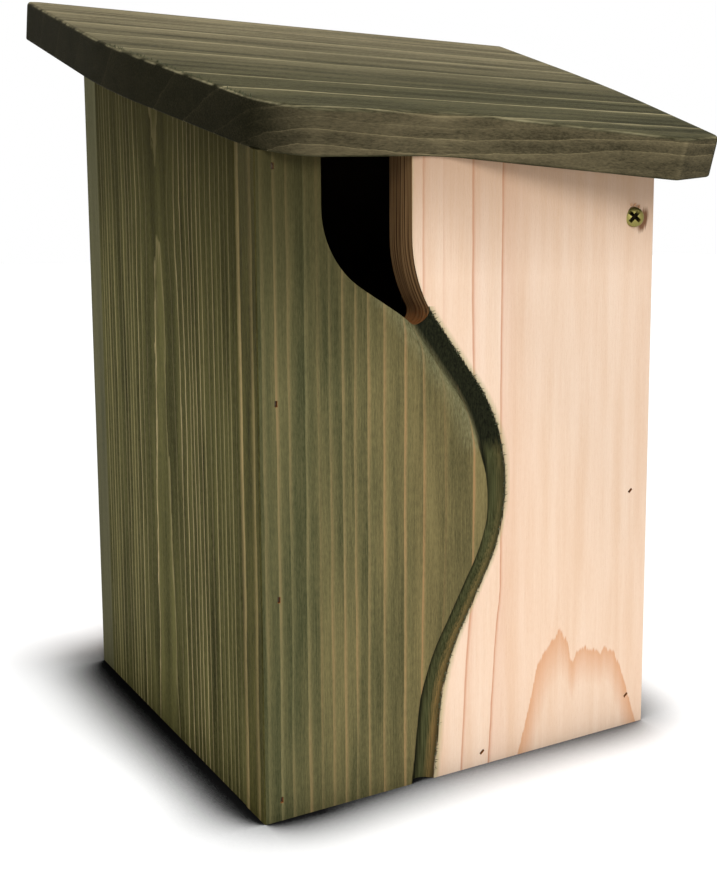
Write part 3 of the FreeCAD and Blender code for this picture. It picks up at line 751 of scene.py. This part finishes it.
def under_roof_by(edge):
    """Distance of an edge's middle below the roof's underside, in millimetres."""
    middle = (edge.verts[0].co + edge.verts[1].co) / (2 * MM)
    return FRONT_HEIGHT + (middle.y - FRONT) * math.tan(ROOF_SLOPE) - middle.z


def eased_board(node):
    """Construction board with its long sharp edges eased, all but those against the roof."""
    work = whole_board(node)
    edges = [edge for edge in work.edges
             if len(edge.link_faces) == 2 and edge.calc_face_angle() > SHARP_ANGLE
             and edge.calc_length() > LONG_EDGE * MM and under_roof_by(edge) > ROOF_CLEAR]
    bmesh.ops.bevel(work, geom=edges, offset=ARRIS * MM, segments=2, profile=0.5, affect="EDGES",
                    clamp_overlap=False)
    return as_mesh(work, node)


UP = Vector((0, 0, 1))
ASIDE = Vector((1, 0, 0))
for node, finish, grain, body, slot in (
    ("left_side_panel", left_stain, UP, "box", "green_stained_softwood"),
    ("lower_right_panel", bare_boards["lower_right_panel"], UP, "box", "bare_softwood"),
    ("floor_panel", bare_boards["floor_panel"], ASIDE, "box", "bare_softwood"),
    ("cleaning_door", bare_boards["cleaning_door"], UP, "door", "bare_softwood"),
):
    name = node if node == "cleaning_door" else node.rsplit("_", 1)[0]
    as_piece(eased_board(node), name + "_wood", finish, grain, body, slot, node)

# %% [markdown]
# ### Where the brads sit
# A brad is a strip of steel with a T head, shot in by air so that its head ends under the surface.
# The construction holds every brad; here the middle of each head and its turn are read from it.


# %% Brad places
def solids_of(node):
    """Corners of every separate solid in a construction node."""
    work = welded(node)
    waiting = dict.fromkeys(work.verts)
    solids = []
    while waiting:
        group = [waiting.popitem()[0]]
        for vert in group:
            for edge in vert.link_edges:
                other = edge.other_vert(vert)
                if other in waiting:
                    del waiting[other]
                    group.append(other)
        solids.append([vert.co.copy() for vert in group])
    work.free()
    return solids


def brad_seat(corners, outward):
    """Middle of a brad's head, and the turn that lays the head along X with its outer side up Z."""
    highest = max(corner.dot(outward) for corner in corners)
    head = [corner for corner in corners if corner.dot(outward) > highest - 0.01 * MM]
    sides = sorted((corner - head[0] for corner in head[1:]), key=lambda side: side.length)
    along = sides[1].normalized()
    turn = Matrix((along, outward.cross(along), outward)).transposed()
    return sum(head, Vector()) / len(head), turn


OUTWARD = {"front": Vector((0, -1, 0)), "back": Vector((0, 1, 0)), "roof": Vector((0, 0, 1))}
brad_seats = {}
for node in sorted(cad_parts):
    if "brad" in node:
        brad_seats[node] = [brad_seat(solid, OUTWARD[node.split("_")[0]]) for solid in solids_of(node)]
print("brads:", {node: len(seats) for node, seats in brad_seats.items()})

# %% [markdown]
# ### Front with the groove
# The front is laid out row by row from the bottom edge to the roof. Every row crosses the S groove:
# flat wood, a soft shoulder, the hollow left by a round-nosed bit and the sharp edge of the bare
# wood. The entrance and the fastener holes are cut through afterwards.

# %% Front
ROW_STEP = 2.0
EASE = 0.5
SOFT_FROM, SOFT_TO = 106.0, 120.0
SOFT_SHOULDER = ((-12.5, 0.0), (-11.0, 0.10), (-9.8, 0.38), (-8.8, 0.95), (-7.9, 1.75), (-7.0, 2.5))
SHARP_SHOULDER = ((-9.6, 0.0), (-9.0, 0.02), (-8.75, 0.15), (-8.6, 0.8), (-8.3, 1.7), (-7.6, 2.5))
HOLLOW = ((-6.2, 3.1), (-5.2, 3.3), (-4.2, 3.2), (-3.2, 2.8), (-2.2, 2.15), (-1.3, 1.4), (-0.6, 0.7), (-0.1, 0.2),
          (0.25, 0.0))


def s_place(z):
    """(x of the S line, stretch of a row across it) at a height."""
    for (x0, z0), (x1, z1) in zip(S_POINTS, S_POINTS[1:]):
        if z1 <= z <= z0:
            share = (z0 - z) / (z0 - z1)
            return x0 + (x1 - x0) * share, math.hypot(x1 - x0, z1 - z0) / (z0 - z1)
    return S_POINTS[-1][0], 1.0


def groove_share(z):
    """Share of its full width that the groove has at a height."""
    steps = zip(GROOVE_SHARES, GROOVE_SHARES[1:])
    return next(low + (high - low) * (z - z0) / (z1 - z0) for (z0, low), (z1, high) in steps if z <= z1)


def front_row(z):
    """Points (x, y) of the front face at a height, from the left end to the right end."""
    x, stretch = s_place(z)
    soft = min(1.0, max(0.0, (z - SOFT_FROM) / (SOFT_TO - SOFT_FROM)))
    shoulder = [(a[0] * soft + b[0] * (1 - soft), a[1] * soft + b[1] * (1 - soft))
                for a, b in zip(SOFT_SHOULDER, SHARP_SHOULDER)]
    stretch *= groove_share(z)
    crossing = [(x + t * stretch, FRONT + depth) for t, depth in shoulder + list(HOLLOW)]
    eased = ((0.0, EASE), (0.3 * EASE, 0.3 * EASE), (EASE, 0.0))
    return ([(LEFT + across, FRONT + depth) for across, depth in eased] + crossing
            + [(RIGHT - across, FRONT + depth) for across, depth in reversed(eased)])


def grooved_board():
    """Closed board with the groove, before any hole is cut."""
    work = bmesh.new()
    rows = []
    count = round(FRONT_HEIGHT / ROW_STEP)
    for index in range(count + 1):
        z = FRONT_HEIGHT * index / count
        lift = math.tan(ROOF_SLOPE) if index == count else 0.0
        rows.append([work.verts.new((x * MM, y * MM, (z + (y - FRONT) * lift) * MM)) for x, y in front_row(z)])
    for low, high in zip(rows, rows[1:]):
        for a, b, c, d in zip(low, low[1:], high[1:], high):
            work.faces.new((a, b, c, d))
    back_top = FRONT_HEIGHT + BOARD * math.tan(ROOF_SLOPE)
    corners = [work.verts.new((x * MM, (FRONT + BOARD) * MM, z * MM))
               for x, z in ((LEFT, 0.0), (RIGHT, 0.0), (RIGHT, back_top), (LEFT, back_top))]
    work.faces.new(corners[::-1])
    work.faces.new(rows[0][::-1] + corners[:2])
    work.faces.new(rows[-1] + corners[2:])
    work.faces.new([row[0] for row in rows] + [corners[3], corners[0]])
    work.faces.new([row[-1] for row in rows][::-1] + [corners[1], corners[2]])
    bmesh.ops.recalc_face_normals(work, faces=work.faces)
    return work


print("front rows every", ROW_STEP, "mm up to", FRONT_HEIGHT)

# %% [markdown]
# ### Tools for cutting
# Saw, drill and nail gun all take away a simple solid, so each cut is a closed solid that is
# subtracted from the board. The result is kept as a plain mesh, with no modifier left on it.


# %% Tools for cutting
def solid_between(first, second):
    """Closed solid between two outlines with the same number of points."""
    work = bmesh.new()
    ends = [[work.verts.new(point) for point in outline] for outline in (first, second)]
    work.faces.new(ends[0])
    work.faces.new(ends[1][::-1])
    for index in range(len(first)):
        work.faces.new((ends[0][index - 1], ends[0][index], ends[1][index], ends[1][index - 1]))
    bmesh.ops.recalc_face_normals(work, faces=work.faces)
    return work


def prism(outline, near, far):
    """Closed prism along +Y over an outline of (x, z) points, near and far in y."""
    return solid_between(*([(x * MM, y * MM, z * MM) for x, z in outline] for y in (near, far)))


def arc(centre, radius, first, last, steps):
    """Points (x, z) of an arc; angles count from -X, turning down."""
    angles = [math.radians(first + (last - first) * step / steps) for step in range(steps + 1)]
    return [(centre[0] - radius * math.cos(a), centre[1] - radius * math.sin(a)) for a in angles]


def made_real(shape, *helpers):
    """Mesh of an object with its modifiers carried out; it and its helpers are cleared away."""
    mesh = bpy.data.meshes.new_from_object(shape.evaluated_get(bpy.context.evaluated_depsgraph_get()))
    for extra in (shape, *helpers):
        bpy.data.objects.remove(extra)
    return mesh


def cut_through(work, cutters):
    """Mesh of a board after cutters are taken out of it."""
    board, *tools = [bpy.data.objects.new("part", as_mesh(part, "part")) for part in [work] + cutters]
    for part in (board, *tools):
        scene.collection.objects.link(part)
    for tool in tools:
        modifier = board.modifiers.new("cut", "BOOLEAN")
        modifier.object = tool
        modifier.operation = "DIFFERENCE"
        modifier.solver = "EXACT"
    return made_real(board, *tools)


# %% [markdown]
# ### Entrance
# The entrance runs down from the roof line: a straight left edge, a round corner, a sloping sill and
# a small round end, from where its right edge follows the first bend of the S line. Only radii and
# angles are given; the places where they touch are worked out.

# %% Entrance
SILL_ANGLE, CORNER_RADIUS, END_RADIUS, END_TURN = 58.4, 30.0, 4.0, 30.0
ABOVE_FRONT = 30.0
entrance_left = LEFT + 22.4
bend_centre = (S_START[0] + S_BENDS[0][0], S_START[1])
end_centre = arc(bend_centre, S_BENDS[0][0] + END_RADIUS, END_TURN, END_TURN, 1)[0]
sill_end = arc(end_centre, END_RADIUS, SILL_ANGLE, SILL_ANGLE, 1)[0]
sill_slope = 1 / math.tan(math.radians(SILL_ANGLE))
corner_height = sill_end[1] + (sill_end[0] - entrance_left) * sill_slope
corner_height += CORNER_RADIUS * math.tan(math.radians(SILL_ANGLE / 2))
entrance = [(entrance_left, FRONT_HEIGHT + ABOVE_FRONT)]
entrance += arc((entrance_left + CORNER_RADIUS, corner_height), CORNER_RADIUS, 0.0, SILL_ANGLE, 12)
entrance += arc(end_centre, END_RADIUS, SILL_ANGLE, END_TURN + 180.0, 10)
entrance += arc(bend_centre, S_BENDS[0][0], END_TURN, 0.0, 8)[1:]
entrance += [(S_START[0], FRONT_HEIGHT + ABOVE_FRONT)]
print("entrance outline:", len(entrance), "points")

# %% [markdown]
# ### Holes in the front and the back
# The entrance is sawn right through. The screw has a hole of its own size and, under its askew head, a
# shallow seat; each brad has left a slot a little wider than itself. Exact cuts keep the edges clean.
# Faces that the saw or the nail gun has opened are marked; they show bare brown wood with painted shade.

# %% Holes in the front and the back
BRAD_HEAD, BRAD_SHANK, BRAD_THICK = 1.9, 1.1, 0.9
BRAD_HEAD_DEPTH, BRAD_LENGTH = 1.0, 30.0
PLAY, BEYOND = 0.05, 10.0
PIVOT_X, PIVOT_Z, PIVOT_HOLE = 71.8, 194.7, 2.05
ASKEW_SHIFT, SEAT_RADIUS, SEAT_DEPTH = -1.7, 2.3, 2.0
ENTRANCE_WIDTH, ENTRANCE_FLOOR = 53.2, 150.0


def slot_outline(middle, turn, width):
    """Corners (x, z) of a brad's slot in the front."""
    along = turn.col[0] * (width / 2 + PLAY)
    across = turn.col[1] * (BRAD_THICK / 2 + PLAY)
    corners = [middle / MM + along * a + across * b for a, b in FOUR_CORNERS]
    return [(corner.x, corner.z) for corner in corners]


def seats_in(board):
    """Seats of all brads driven into a board from outside."""
    return [seat for node, seats in brad_seats.items() if node.startswith(board) for seat in seats]


front_seats = seats_in("front")
cutters = [prism(entrance, FRONT - BEYOND, INNER_FRONT + BEYOND)]
for x, radius, far in ((PIVOT_X, PIVOT_HOLE, INNER_FRONT + BEYOND),
                       (PIVOT_X + ASKEW_SHIFT, SEAT_RADIUS, FRONT + SEAT_DEPTH)):
    cutters.append(prism(arc((x, PIVOT_Z), radius, 0.0, 345.0, 23), FRONT - BEYOND, far))
for middle, turn in front_seats:
    seat = middle.y / MM
    cutters.append(prism(slot_outline(middle, turn, BRAD_HEAD), FRONT - BEYOND, seat + BRAD_HEAD_DEPTH + PLAY))
    cutters.append(prism(slot_outline(middle, turn, BRAD_SHANK), seat, INNER_FRONT + BEYOND))
front_mesh = cut_through(grooved_board(), cutters)
# Marks the faces that take the brown with painted shade: entrance walls and brad slots.
sawn_and_shaded = front_mesh.attributes.new("sawn_and_shaded", "FLOAT", "FACE")
for polygon in front_mesh.polygons:
    x, y, z = polygon.center / MM
    deepest = max(front_mesh.vertices[index].co.y for index in polygon.vertices) / MM
    within = -1.0 < x - entrance_left < ENTRANCE_WIDTH and ENTRANCE_FLOOR < z < FRONT_HEIGHT
    entered = within and deepest > INNER_FRONT - 1.0
    slotted = any(math.hypot(x - middle.x / MM, z - middle.z / MM) < BRAD_HEAD for middle, turn in front_seats)
    sawn_and_shaded.data[polygon.index].value = float((entered or slotted) and abs(polygon.normal.y) < 0.5)
as_piece(front_mesh, "front_wood", front_finish, UP, "box", "two_tone_softwood", "front_board")
back_work = bmesh.new()
back_work.from_mesh(eased_board("back_panel"))
cutters = [prism(slot_outline(middle, turn, BRAD_HEAD), middle.y / MM, BACK + BEYOND)
           for middle, turn in seats_in("back")]
as_piece(cut_through(back_work, cutters), "back_wood", back_finish, UP, "box", "bare_softwood", "back_panel")

# %% [markdown]
# ### Roof
# The roof was sawn out by hand and its back left corner knocked off, so a wedge is cut away there.
# How far each corner of a face looks up along the roof tells the arris, which is rubbed paler, and
# the sawn edges, which are browner.

# %% Roof
ROOF_CORNER = (LEFT - 24.0, (BACK - FRONT) / math.cos(ROOF_SLOPE))
CORNER_ALONG_BACK, CORNER_ALONG_LEFT = 9.0, 4.0
on_back = Vector((ROOF_CORNER[0] + CORNER_ALONG_BACK, ROOF_CORNER[1]))
on_left = Vector((ROOF_CORNER[0], ROOF_CORNER[1] - CORNER_ALONG_LEFT))
beyond = on_back - on_left
outer = Vector(ROOF_CORNER) + Vector((-BEYOND, BEYOND))
corner = prism([on_back + beyond, outer, on_left - beyond], -BEYOND, 2 * BOARD)
roof_turn = Matrix.Rotation(ROOF_SLOPE, 3, "X")
roof_up, roof_back = roof_turn @ UP, roof_turn @ Vector((0, 1, 0))
laid = Matrix((ASIDE, roof_up, roof_back)).transposed().to_4x4()
laid.translation = (0, FRONT * MM, FRONT_HEIGHT * MM)
bmesh.ops.transform(corner, matrix=laid, verts=corner.verts)
bmesh.ops.recalc_face_normals(corner, faces=corner.faces)
roof_mesh = cut_through(whole_board("roof_board"), [corner])
as_piece(roof_mesh, "roof_wood", roof_stain, ASIDE, "box", "dark_stained_softwood", "roof_board")
rise = [normal.vector.dot(roof_up) for normal in roof_mesh.corner_normals]
worn = roof_mesh.attributes.new("worn", "FLOAT", "CORNER")
worn.data.foreach_set("value", [max(0.0, 1.0 - abs(share - 0.7) / 0.28) for share in rise])
side = roof_mesh.attributes.new("side", "FLOAT", "CORNER")
side.data.foreach_set("value", [1.0 - abs(share) for share in rise])

# %% [markdown]
# ## Brads
# All brads are alike, so one is described in Geometry Nodes and set at every place: a T head with
# its upper edges rounded off by the driver, and a shank that narrows to its chisel end.


# %% Brads
def geometry_group(name, sizes):
    """Node group for geometry with named size inputs: (group, its node adder, its inputs)."""
    group = bpy.data.node_groups.new(name, "GeometryNodeTree")
    group.interface.new_socket("Geometry", in_out="INPUT", socket_type="NodeSocketGeometry")
    for title in sizes:
        group.interface.new_socket(title, in_out="INPUT", socket_type="NodeSocketFloat")
    group.interface.new_socket("Geometry", in_out="OUTPUT", socket_type="NodeSocketGeometry")
    add = node_adder(group)
    return group, add, add("NodeGroupInput").outputs


def grown(group, places, turns, sizes):
    """Mesh that a node group makes at places, each with a turn."""
    points = bpy.data.meshes.new("points")
    points.from_pydata(places, [], [])
    turned = points.attributes.new("turn", "FLOAT_VECTOR", "POINT")
    turned.data.foreach_set("vector", [angle for turn in turns for angle in turn.to_euler()])
    holder = bpy.data.objects.new("holder", points)
    scene.collection.objects.link(holder)
    modifier = holder.modifiers.new("maker", "NODES")
    modifier.node_group = group
    for item in group.interface.items_tree:
        if item.in_out == "INPUT" and item.name in sizes:
            modifier[item.identifier] = sizes[item.name]
    return made_real(holder)


def set_at_points(add, given, shape, finish, scale):
    """Last nodes of a group: the shape at every point, made real, with its finish."""
    turn = add("GeometryNodeInputNamedAttribute", {"Name": "turn"}, data_type="FLOAT_VECTOR")
    placed = add("GeometryNodeInstanceOnPoints", {"Points": given["Geometry"], "Instance": shape,
                                                  "Rotation": turn, "Scale": scale})
    real = add("GeometryNodeRealizeInstances", {0: placed})
    finished = add("GeometryNodeSetMaterial", {"Geometry": real, "Material": finish})
    add("NodeGroupOutput", {0: finished})


SQUARE = math.sqrt(0.5)
brad_sizes = {"Head Width": BRAD_HEAD * MM, "Shank Width": BRAD_SHANK * MM, "Thickness": BRAD_THICK * MM,
              "Head Depth": BRAD_HEAD_DEPTH * MM, "Length": BRAD_LENGTH * MM}
group, add, given = geometry_group("brad_maker", brad_sizes)
shank = add("Math", [given["Length"], given["Head Depth"]], "SUBTRACT")
whole = add("GeometryNodeJoinGeometry")
for width, top, bottom, length, drop in (
    (given["Head Width"], 0.8 * SQUARE, SQUARE, given["Head Depth"], given["Head Depth"]),
    (given["Shank Width"], SQUARE, 0.5 * SQUARE, shank, given["Length"]),
):
    block = add("GeometryNodeMeshCone", {"Vertices": 4, "Radius Top": top, "Radius Bottom": bottom,
                                         "Depth": length})
    squared = add("GeometryNodeTransform", {"Geometry": block, "Rotation": (0.0, 0.0, math.pi / 4)})
    size = add("CombineXYZ", [width, given["Thickness"], 1.0])
    low = add("Math", [drop, -1.0], "MULTIPLY")
    low = add("CombineXYZ", {2: low})
    part = add("GeometryNodeTransform", {"Geometry": squared, "Translation": low, "Scale": size})
    fill(whole, {0: part})
set_at_points(add, given, whole, plain["brad_steel"], (1.0, 1.0, 1.0))
seats = [seat for node_seats in brad_seats.values() for seat in node_seats]
brads = grown(group, *zip(*seats), brad_sizes)
as_piece(brads, "brads", plain["brad_steel"], UP, "box", "brad_steel", *brad_seats)

# %% [markdown]
# ## Pivot screws
# Two pan-head wood screws carry the door. The head is a low dome with a cross recess, plated yellow;
# the front one was driven in a little askew. The thread's crests are as wide as the hole in the door.

# %% Pivot screws
HEAD_RADIUS, HEAD_HEIGHT, HEAD_RIM = 3.7, 1.9, 0.8
HEAD_LIFT, HEAD_SINK = 0.2, -0.35
CORE, CREST, PITCH, SHANK, POINT = 1.4, 2.0, 1.8, 40.0, 6.0
ROUND = 24
THREAD_STEP = 0.3
BLADE_ENDS = ((3.5, 0.8, HEAD_HEIGHT + 0.5), (1.5, 0.5, HEAD_HEIGHT - 1.4))
TILT, TILT_UP = 26.0, 8.0


def shank_radius(depth, share):
    """Radius of the threaded shank at a depth under the head and a share of a turn."""
    ridge = max(0.0, 1.0 - 3.2 * abs((depth / PITCH - share) % 1.0 - 0.5))
    return (CORE + (CREST - CORE) * ridge) * min(1.0, (SHANK - depth) / POINT)


def blade(turn):
    """One arm of the cross recess: a wedge, wide at the top of the head."""
    spin = Matrix.Rotation(math.radians(turn), 3, "Z")
    return solid_between(*([spin @ Vector((x * length, y * width, height)) * MM for x, y in FOUR_CORNERS]
                           for length, width, height in BLADE_ENDS))


def pan_head_screw():
    """Screw that stands on its point, with the underside of its head at the origin."""
    dome = [math.radians(angle) for angle in range(10, 91, 10)]
    rows = [[(HEAD_RADIUS * math.sin(a), HEAD_RIM + (HEAD_HEIGHT - HEAD_RIM) * math.cos(a))] * ROUND for a in dome]
    rows += [[(HEAD_RADIUS, 0.2)] * ROUND, [(HEAD_RADIUS - 0.15, 0.0)] * ROUND, [(CORE, 0.0)] * ROUND]
    for index in range(1, round((SHANK - 0.5) / THREAD_STEP)):
        depth = index * THREAD_STEP
        rows.append([(shank_radius(depth, step / ROUND), -depth) for step in range(ROUND)])
    work = bmesh.new()
    rings = []
    angles = [2 * math.pi * step / ROUND for step in range(ROUND)]
    for row in rows:
        rings.append([work.verts.new((r * math.cos(a) * MM, r * math.sin(a) * MM, z * MM))
                      for (r, z), a in zip(row, angles)])
    for high, low in zip(rings, rings[1:]):
        for index in range(ROUND):
            work.faces.new((high[index - 1], low[index - 1], low[index], high[index]))
    work.faces.new(rings[0])
    work.faces.new(rings[-1][::-1])
    bmesh.ops.recalc_face_normals(work, faces=work.faces)
    screw = cut_through(work, [blade(45.0), blade(-45.0)])
    # Share of painted shade inside the cross recess: it grows with depth below the dome.
    recess = screw.attributes.new("recess", "FLOAT", "POINT")
    for vertex in screw.vertices:
        x, y, z = vertex.co / MM
        reach = min(1.0, math.hypot(x, y) / HEAD_RADIUS)
        dome_height = HEAD_RIM + (HEAD_HEIGHT - HEAD_RIM) * math.sqrt(1.0 - reach ** 2)
        inside = 0.3 < z < dome_height - 0.1 and reach < 0.95
        recess.data[vertex.index].value = min(1.0, (dome_height - z) / 0.5) if inside else 0.0
    return screw


screws = bmesh.new()
for node, outward, askew in (("front_pivot_screw", OUTWARD["front"], TILT),
                             ("rear_pivot_screw", OUTWARD["back"], 0.0)):
    corners = solids_of(node)[0]
    top = max(corner.dot(outward) for corner in corners)
    seat = Vector((PIVOT_X * MM, 0, PIVOT_Z * MM)) + outward * (top - (HEAD_HEIGHT + HEAD_LIFT) * MM)
    facing = Matrix((ASIDE, outward.cross(ASIDE), outward)).transposed()
    lean = Matrix.Rotation(math.radians(-askew), 3, "Y")
    lean = Matrix.Rotation(math.radians(-TILT_UP if askew else 0.0), 3, "X") @ lean
    screw = pan_head_screw()
    slide = Vector((ASKEW_SHIFT, 0, HEAD_SINK) if askew else (0, 0, HEAD_LIFT)) * MM
    for vertex in screw.vertices:
        local = lean @ vertex.co + slide if vertex.co.z > -0.01 * MM else vertex.co
        vertex.co = seat + facing @ local
    screws.from_mesh(screw)
as_piece(as_mesh(screws, "screws"), "pivot_screws", zinc, UP, "door", "yellow_zinc_steel", "front_pivot_screw",
         "rear_pivot_screw")

# %% [markdown]
# ## Torn fibres
# The router tore the fibres along the right edge of the groove and the stain has stiffened them;
# the screw has lifted some above its head, and the saw has left some on the roof's left edge. Each
# is a thin spike that bends, set by Geometry Nodes at places picked with a fixed seed.

# %% Torn fibres
LEAST_GROWTH, MOST_GROWTH, FIBRE_SEED, FIBRE_TIP = 0.4, 1.3, 7, 0.02
fibre_sizes = {"Length": 1.2 * MM, "Thickness": 0.2 * MM, "Bend": 0.35}


def torn_fibres(name, finish, slot, places, turns):
    """Piece of bent spikes at places, each with a turn."""
    group, add, given = geometry_group(name + "_maker", fibre_sizes)
    spike = add("GeometryNodeMeshCone", {"Vertices": 4, "Side Segments": 4, "Radius Top": FIBRE_TIP * MM,
                                         "Radius Bottom": given["Thickness"], "Depth": given["Length"]})
    height = add("SeparateXYZ", [add("GeometryNodeInputPosition")]).outputs["Z"]
    curl = add("Math", [height, given["Length"]], "DIVIDE")
    for factor in (height, given["Bend"]):
        curl = add("Math", [curl, factor], "MULTIPLY")
    bent = add("GeometryNodeSetPosition", {"Geometry": spike, "Offset": add("CombineXYZ", [curl])})
    grow = add("FunctionNodeRandomValue", {2: LEAST_GROWTH, 3: MOST_GROWTH, "Seed": FIBRE_SEED})
    set_at_points(add, given, bent, plain[finish], grow)
    as_piece(grown(group, places, turns, fibre_sizes), name, plain[finish], UP, "box", slot)


# %% [markdown]
# ### Where fibres stand
# Along the groove they lean over its right edge at uneven steps. Chips stand above the screw's head
# only, where the head doesn't sweep when the door swings. On the roof they stand along the left edge.

# %% Places of the torn fibres
FUZZ_START, FUZZ_PER_MM = 3.0, 2.2
CHIPS, CHIP_ANGLES, CHIP_RING = 18, (40.0, 110.0), (3.6, 4.4)
ROOF_STEP = 0.5
rng = random.Random(5)
places, turns = [], []
z = FUZZ_START
while z < GROOVE_TOP - 1.0:
    x, stretch = s_place(z)
    places.append(Vector((x + rng.uniform(-0.5, 0.1), FRONT + rng.uniform(0.0, 0.5), z)) * MM)
    turns.append(Matrix.Rotation(rng.uniform(0.3, 1.3), 3, "Y") @ Matrix.Rotation(rng.uniform(-0.1, 0.6), 3, "X"))
    z += rng.expovariate(FUZZ_PER_MM)
torn_fibres("groove_fuzz", "stained_torn_fibres", "two_tone_softwood", places, turns)

places, turns = [], []
for angle in [rng.uniform(*CHIP_ANGLES) for chip in range(CHIPS)]:
    away = Vector((math.cos(math.radians(angle)), 0, math.sin(math.radians(angle))))
    places.append((Vector((PIVOT_X + ASKEW_SHIFT, FRONT, PIVOT_Z)) + away * rng.uniform(*CHIP_RING)) * MM)
    aside = Matrix.Rotation(math.radians(90.0 - angle), 3, "Y")
    turns.append(aside @ Matrix.Rotation(rng.uniform(0.1, 0.7), 3, "X"))
torn_fibres("screw_chips", "bare_torn_fibres", "two_tone_softwood", places, turns)

upper = [face for face in roof_mesh.polygons if face.normal.dot(roof_up) > 0.99]
top_face = max(upper, key=lambda face: face.area)
loop = [roof_mesh.vertices[index].co.copy() for index in top_face.vertices]
places, turns = [], []
for start, end in zip(loop, loop[1:] + loop[:1]):
    if max(start.x, end.x) < (LEFT + 4.0) * MM and max(start.y, end.y) < (BACK - 25.0) * MM:
        outward = (end - start).cross(roof_up).normalized()
        for fibre in range(round((end - start).length / (ROOF_STEP * MM))):
            spot = start.lerp(end, rng.random()) + outward * rng.uniform(0.6, 1.3) * MM
            places.append(spot - roof_up * 0.5 * MM)
            facing = outward * rng.uniform(0.1, 0.6) + roof_up + Vector((0, rng.uniform(-0.8, 0.8), 0))
            turns.append(facing.to_track_quat("Z", "Y").to_matrix())
torn_fibres("roof_fuzz", "stained_torn_fibres", "dark_stained_softwood", places, turns)
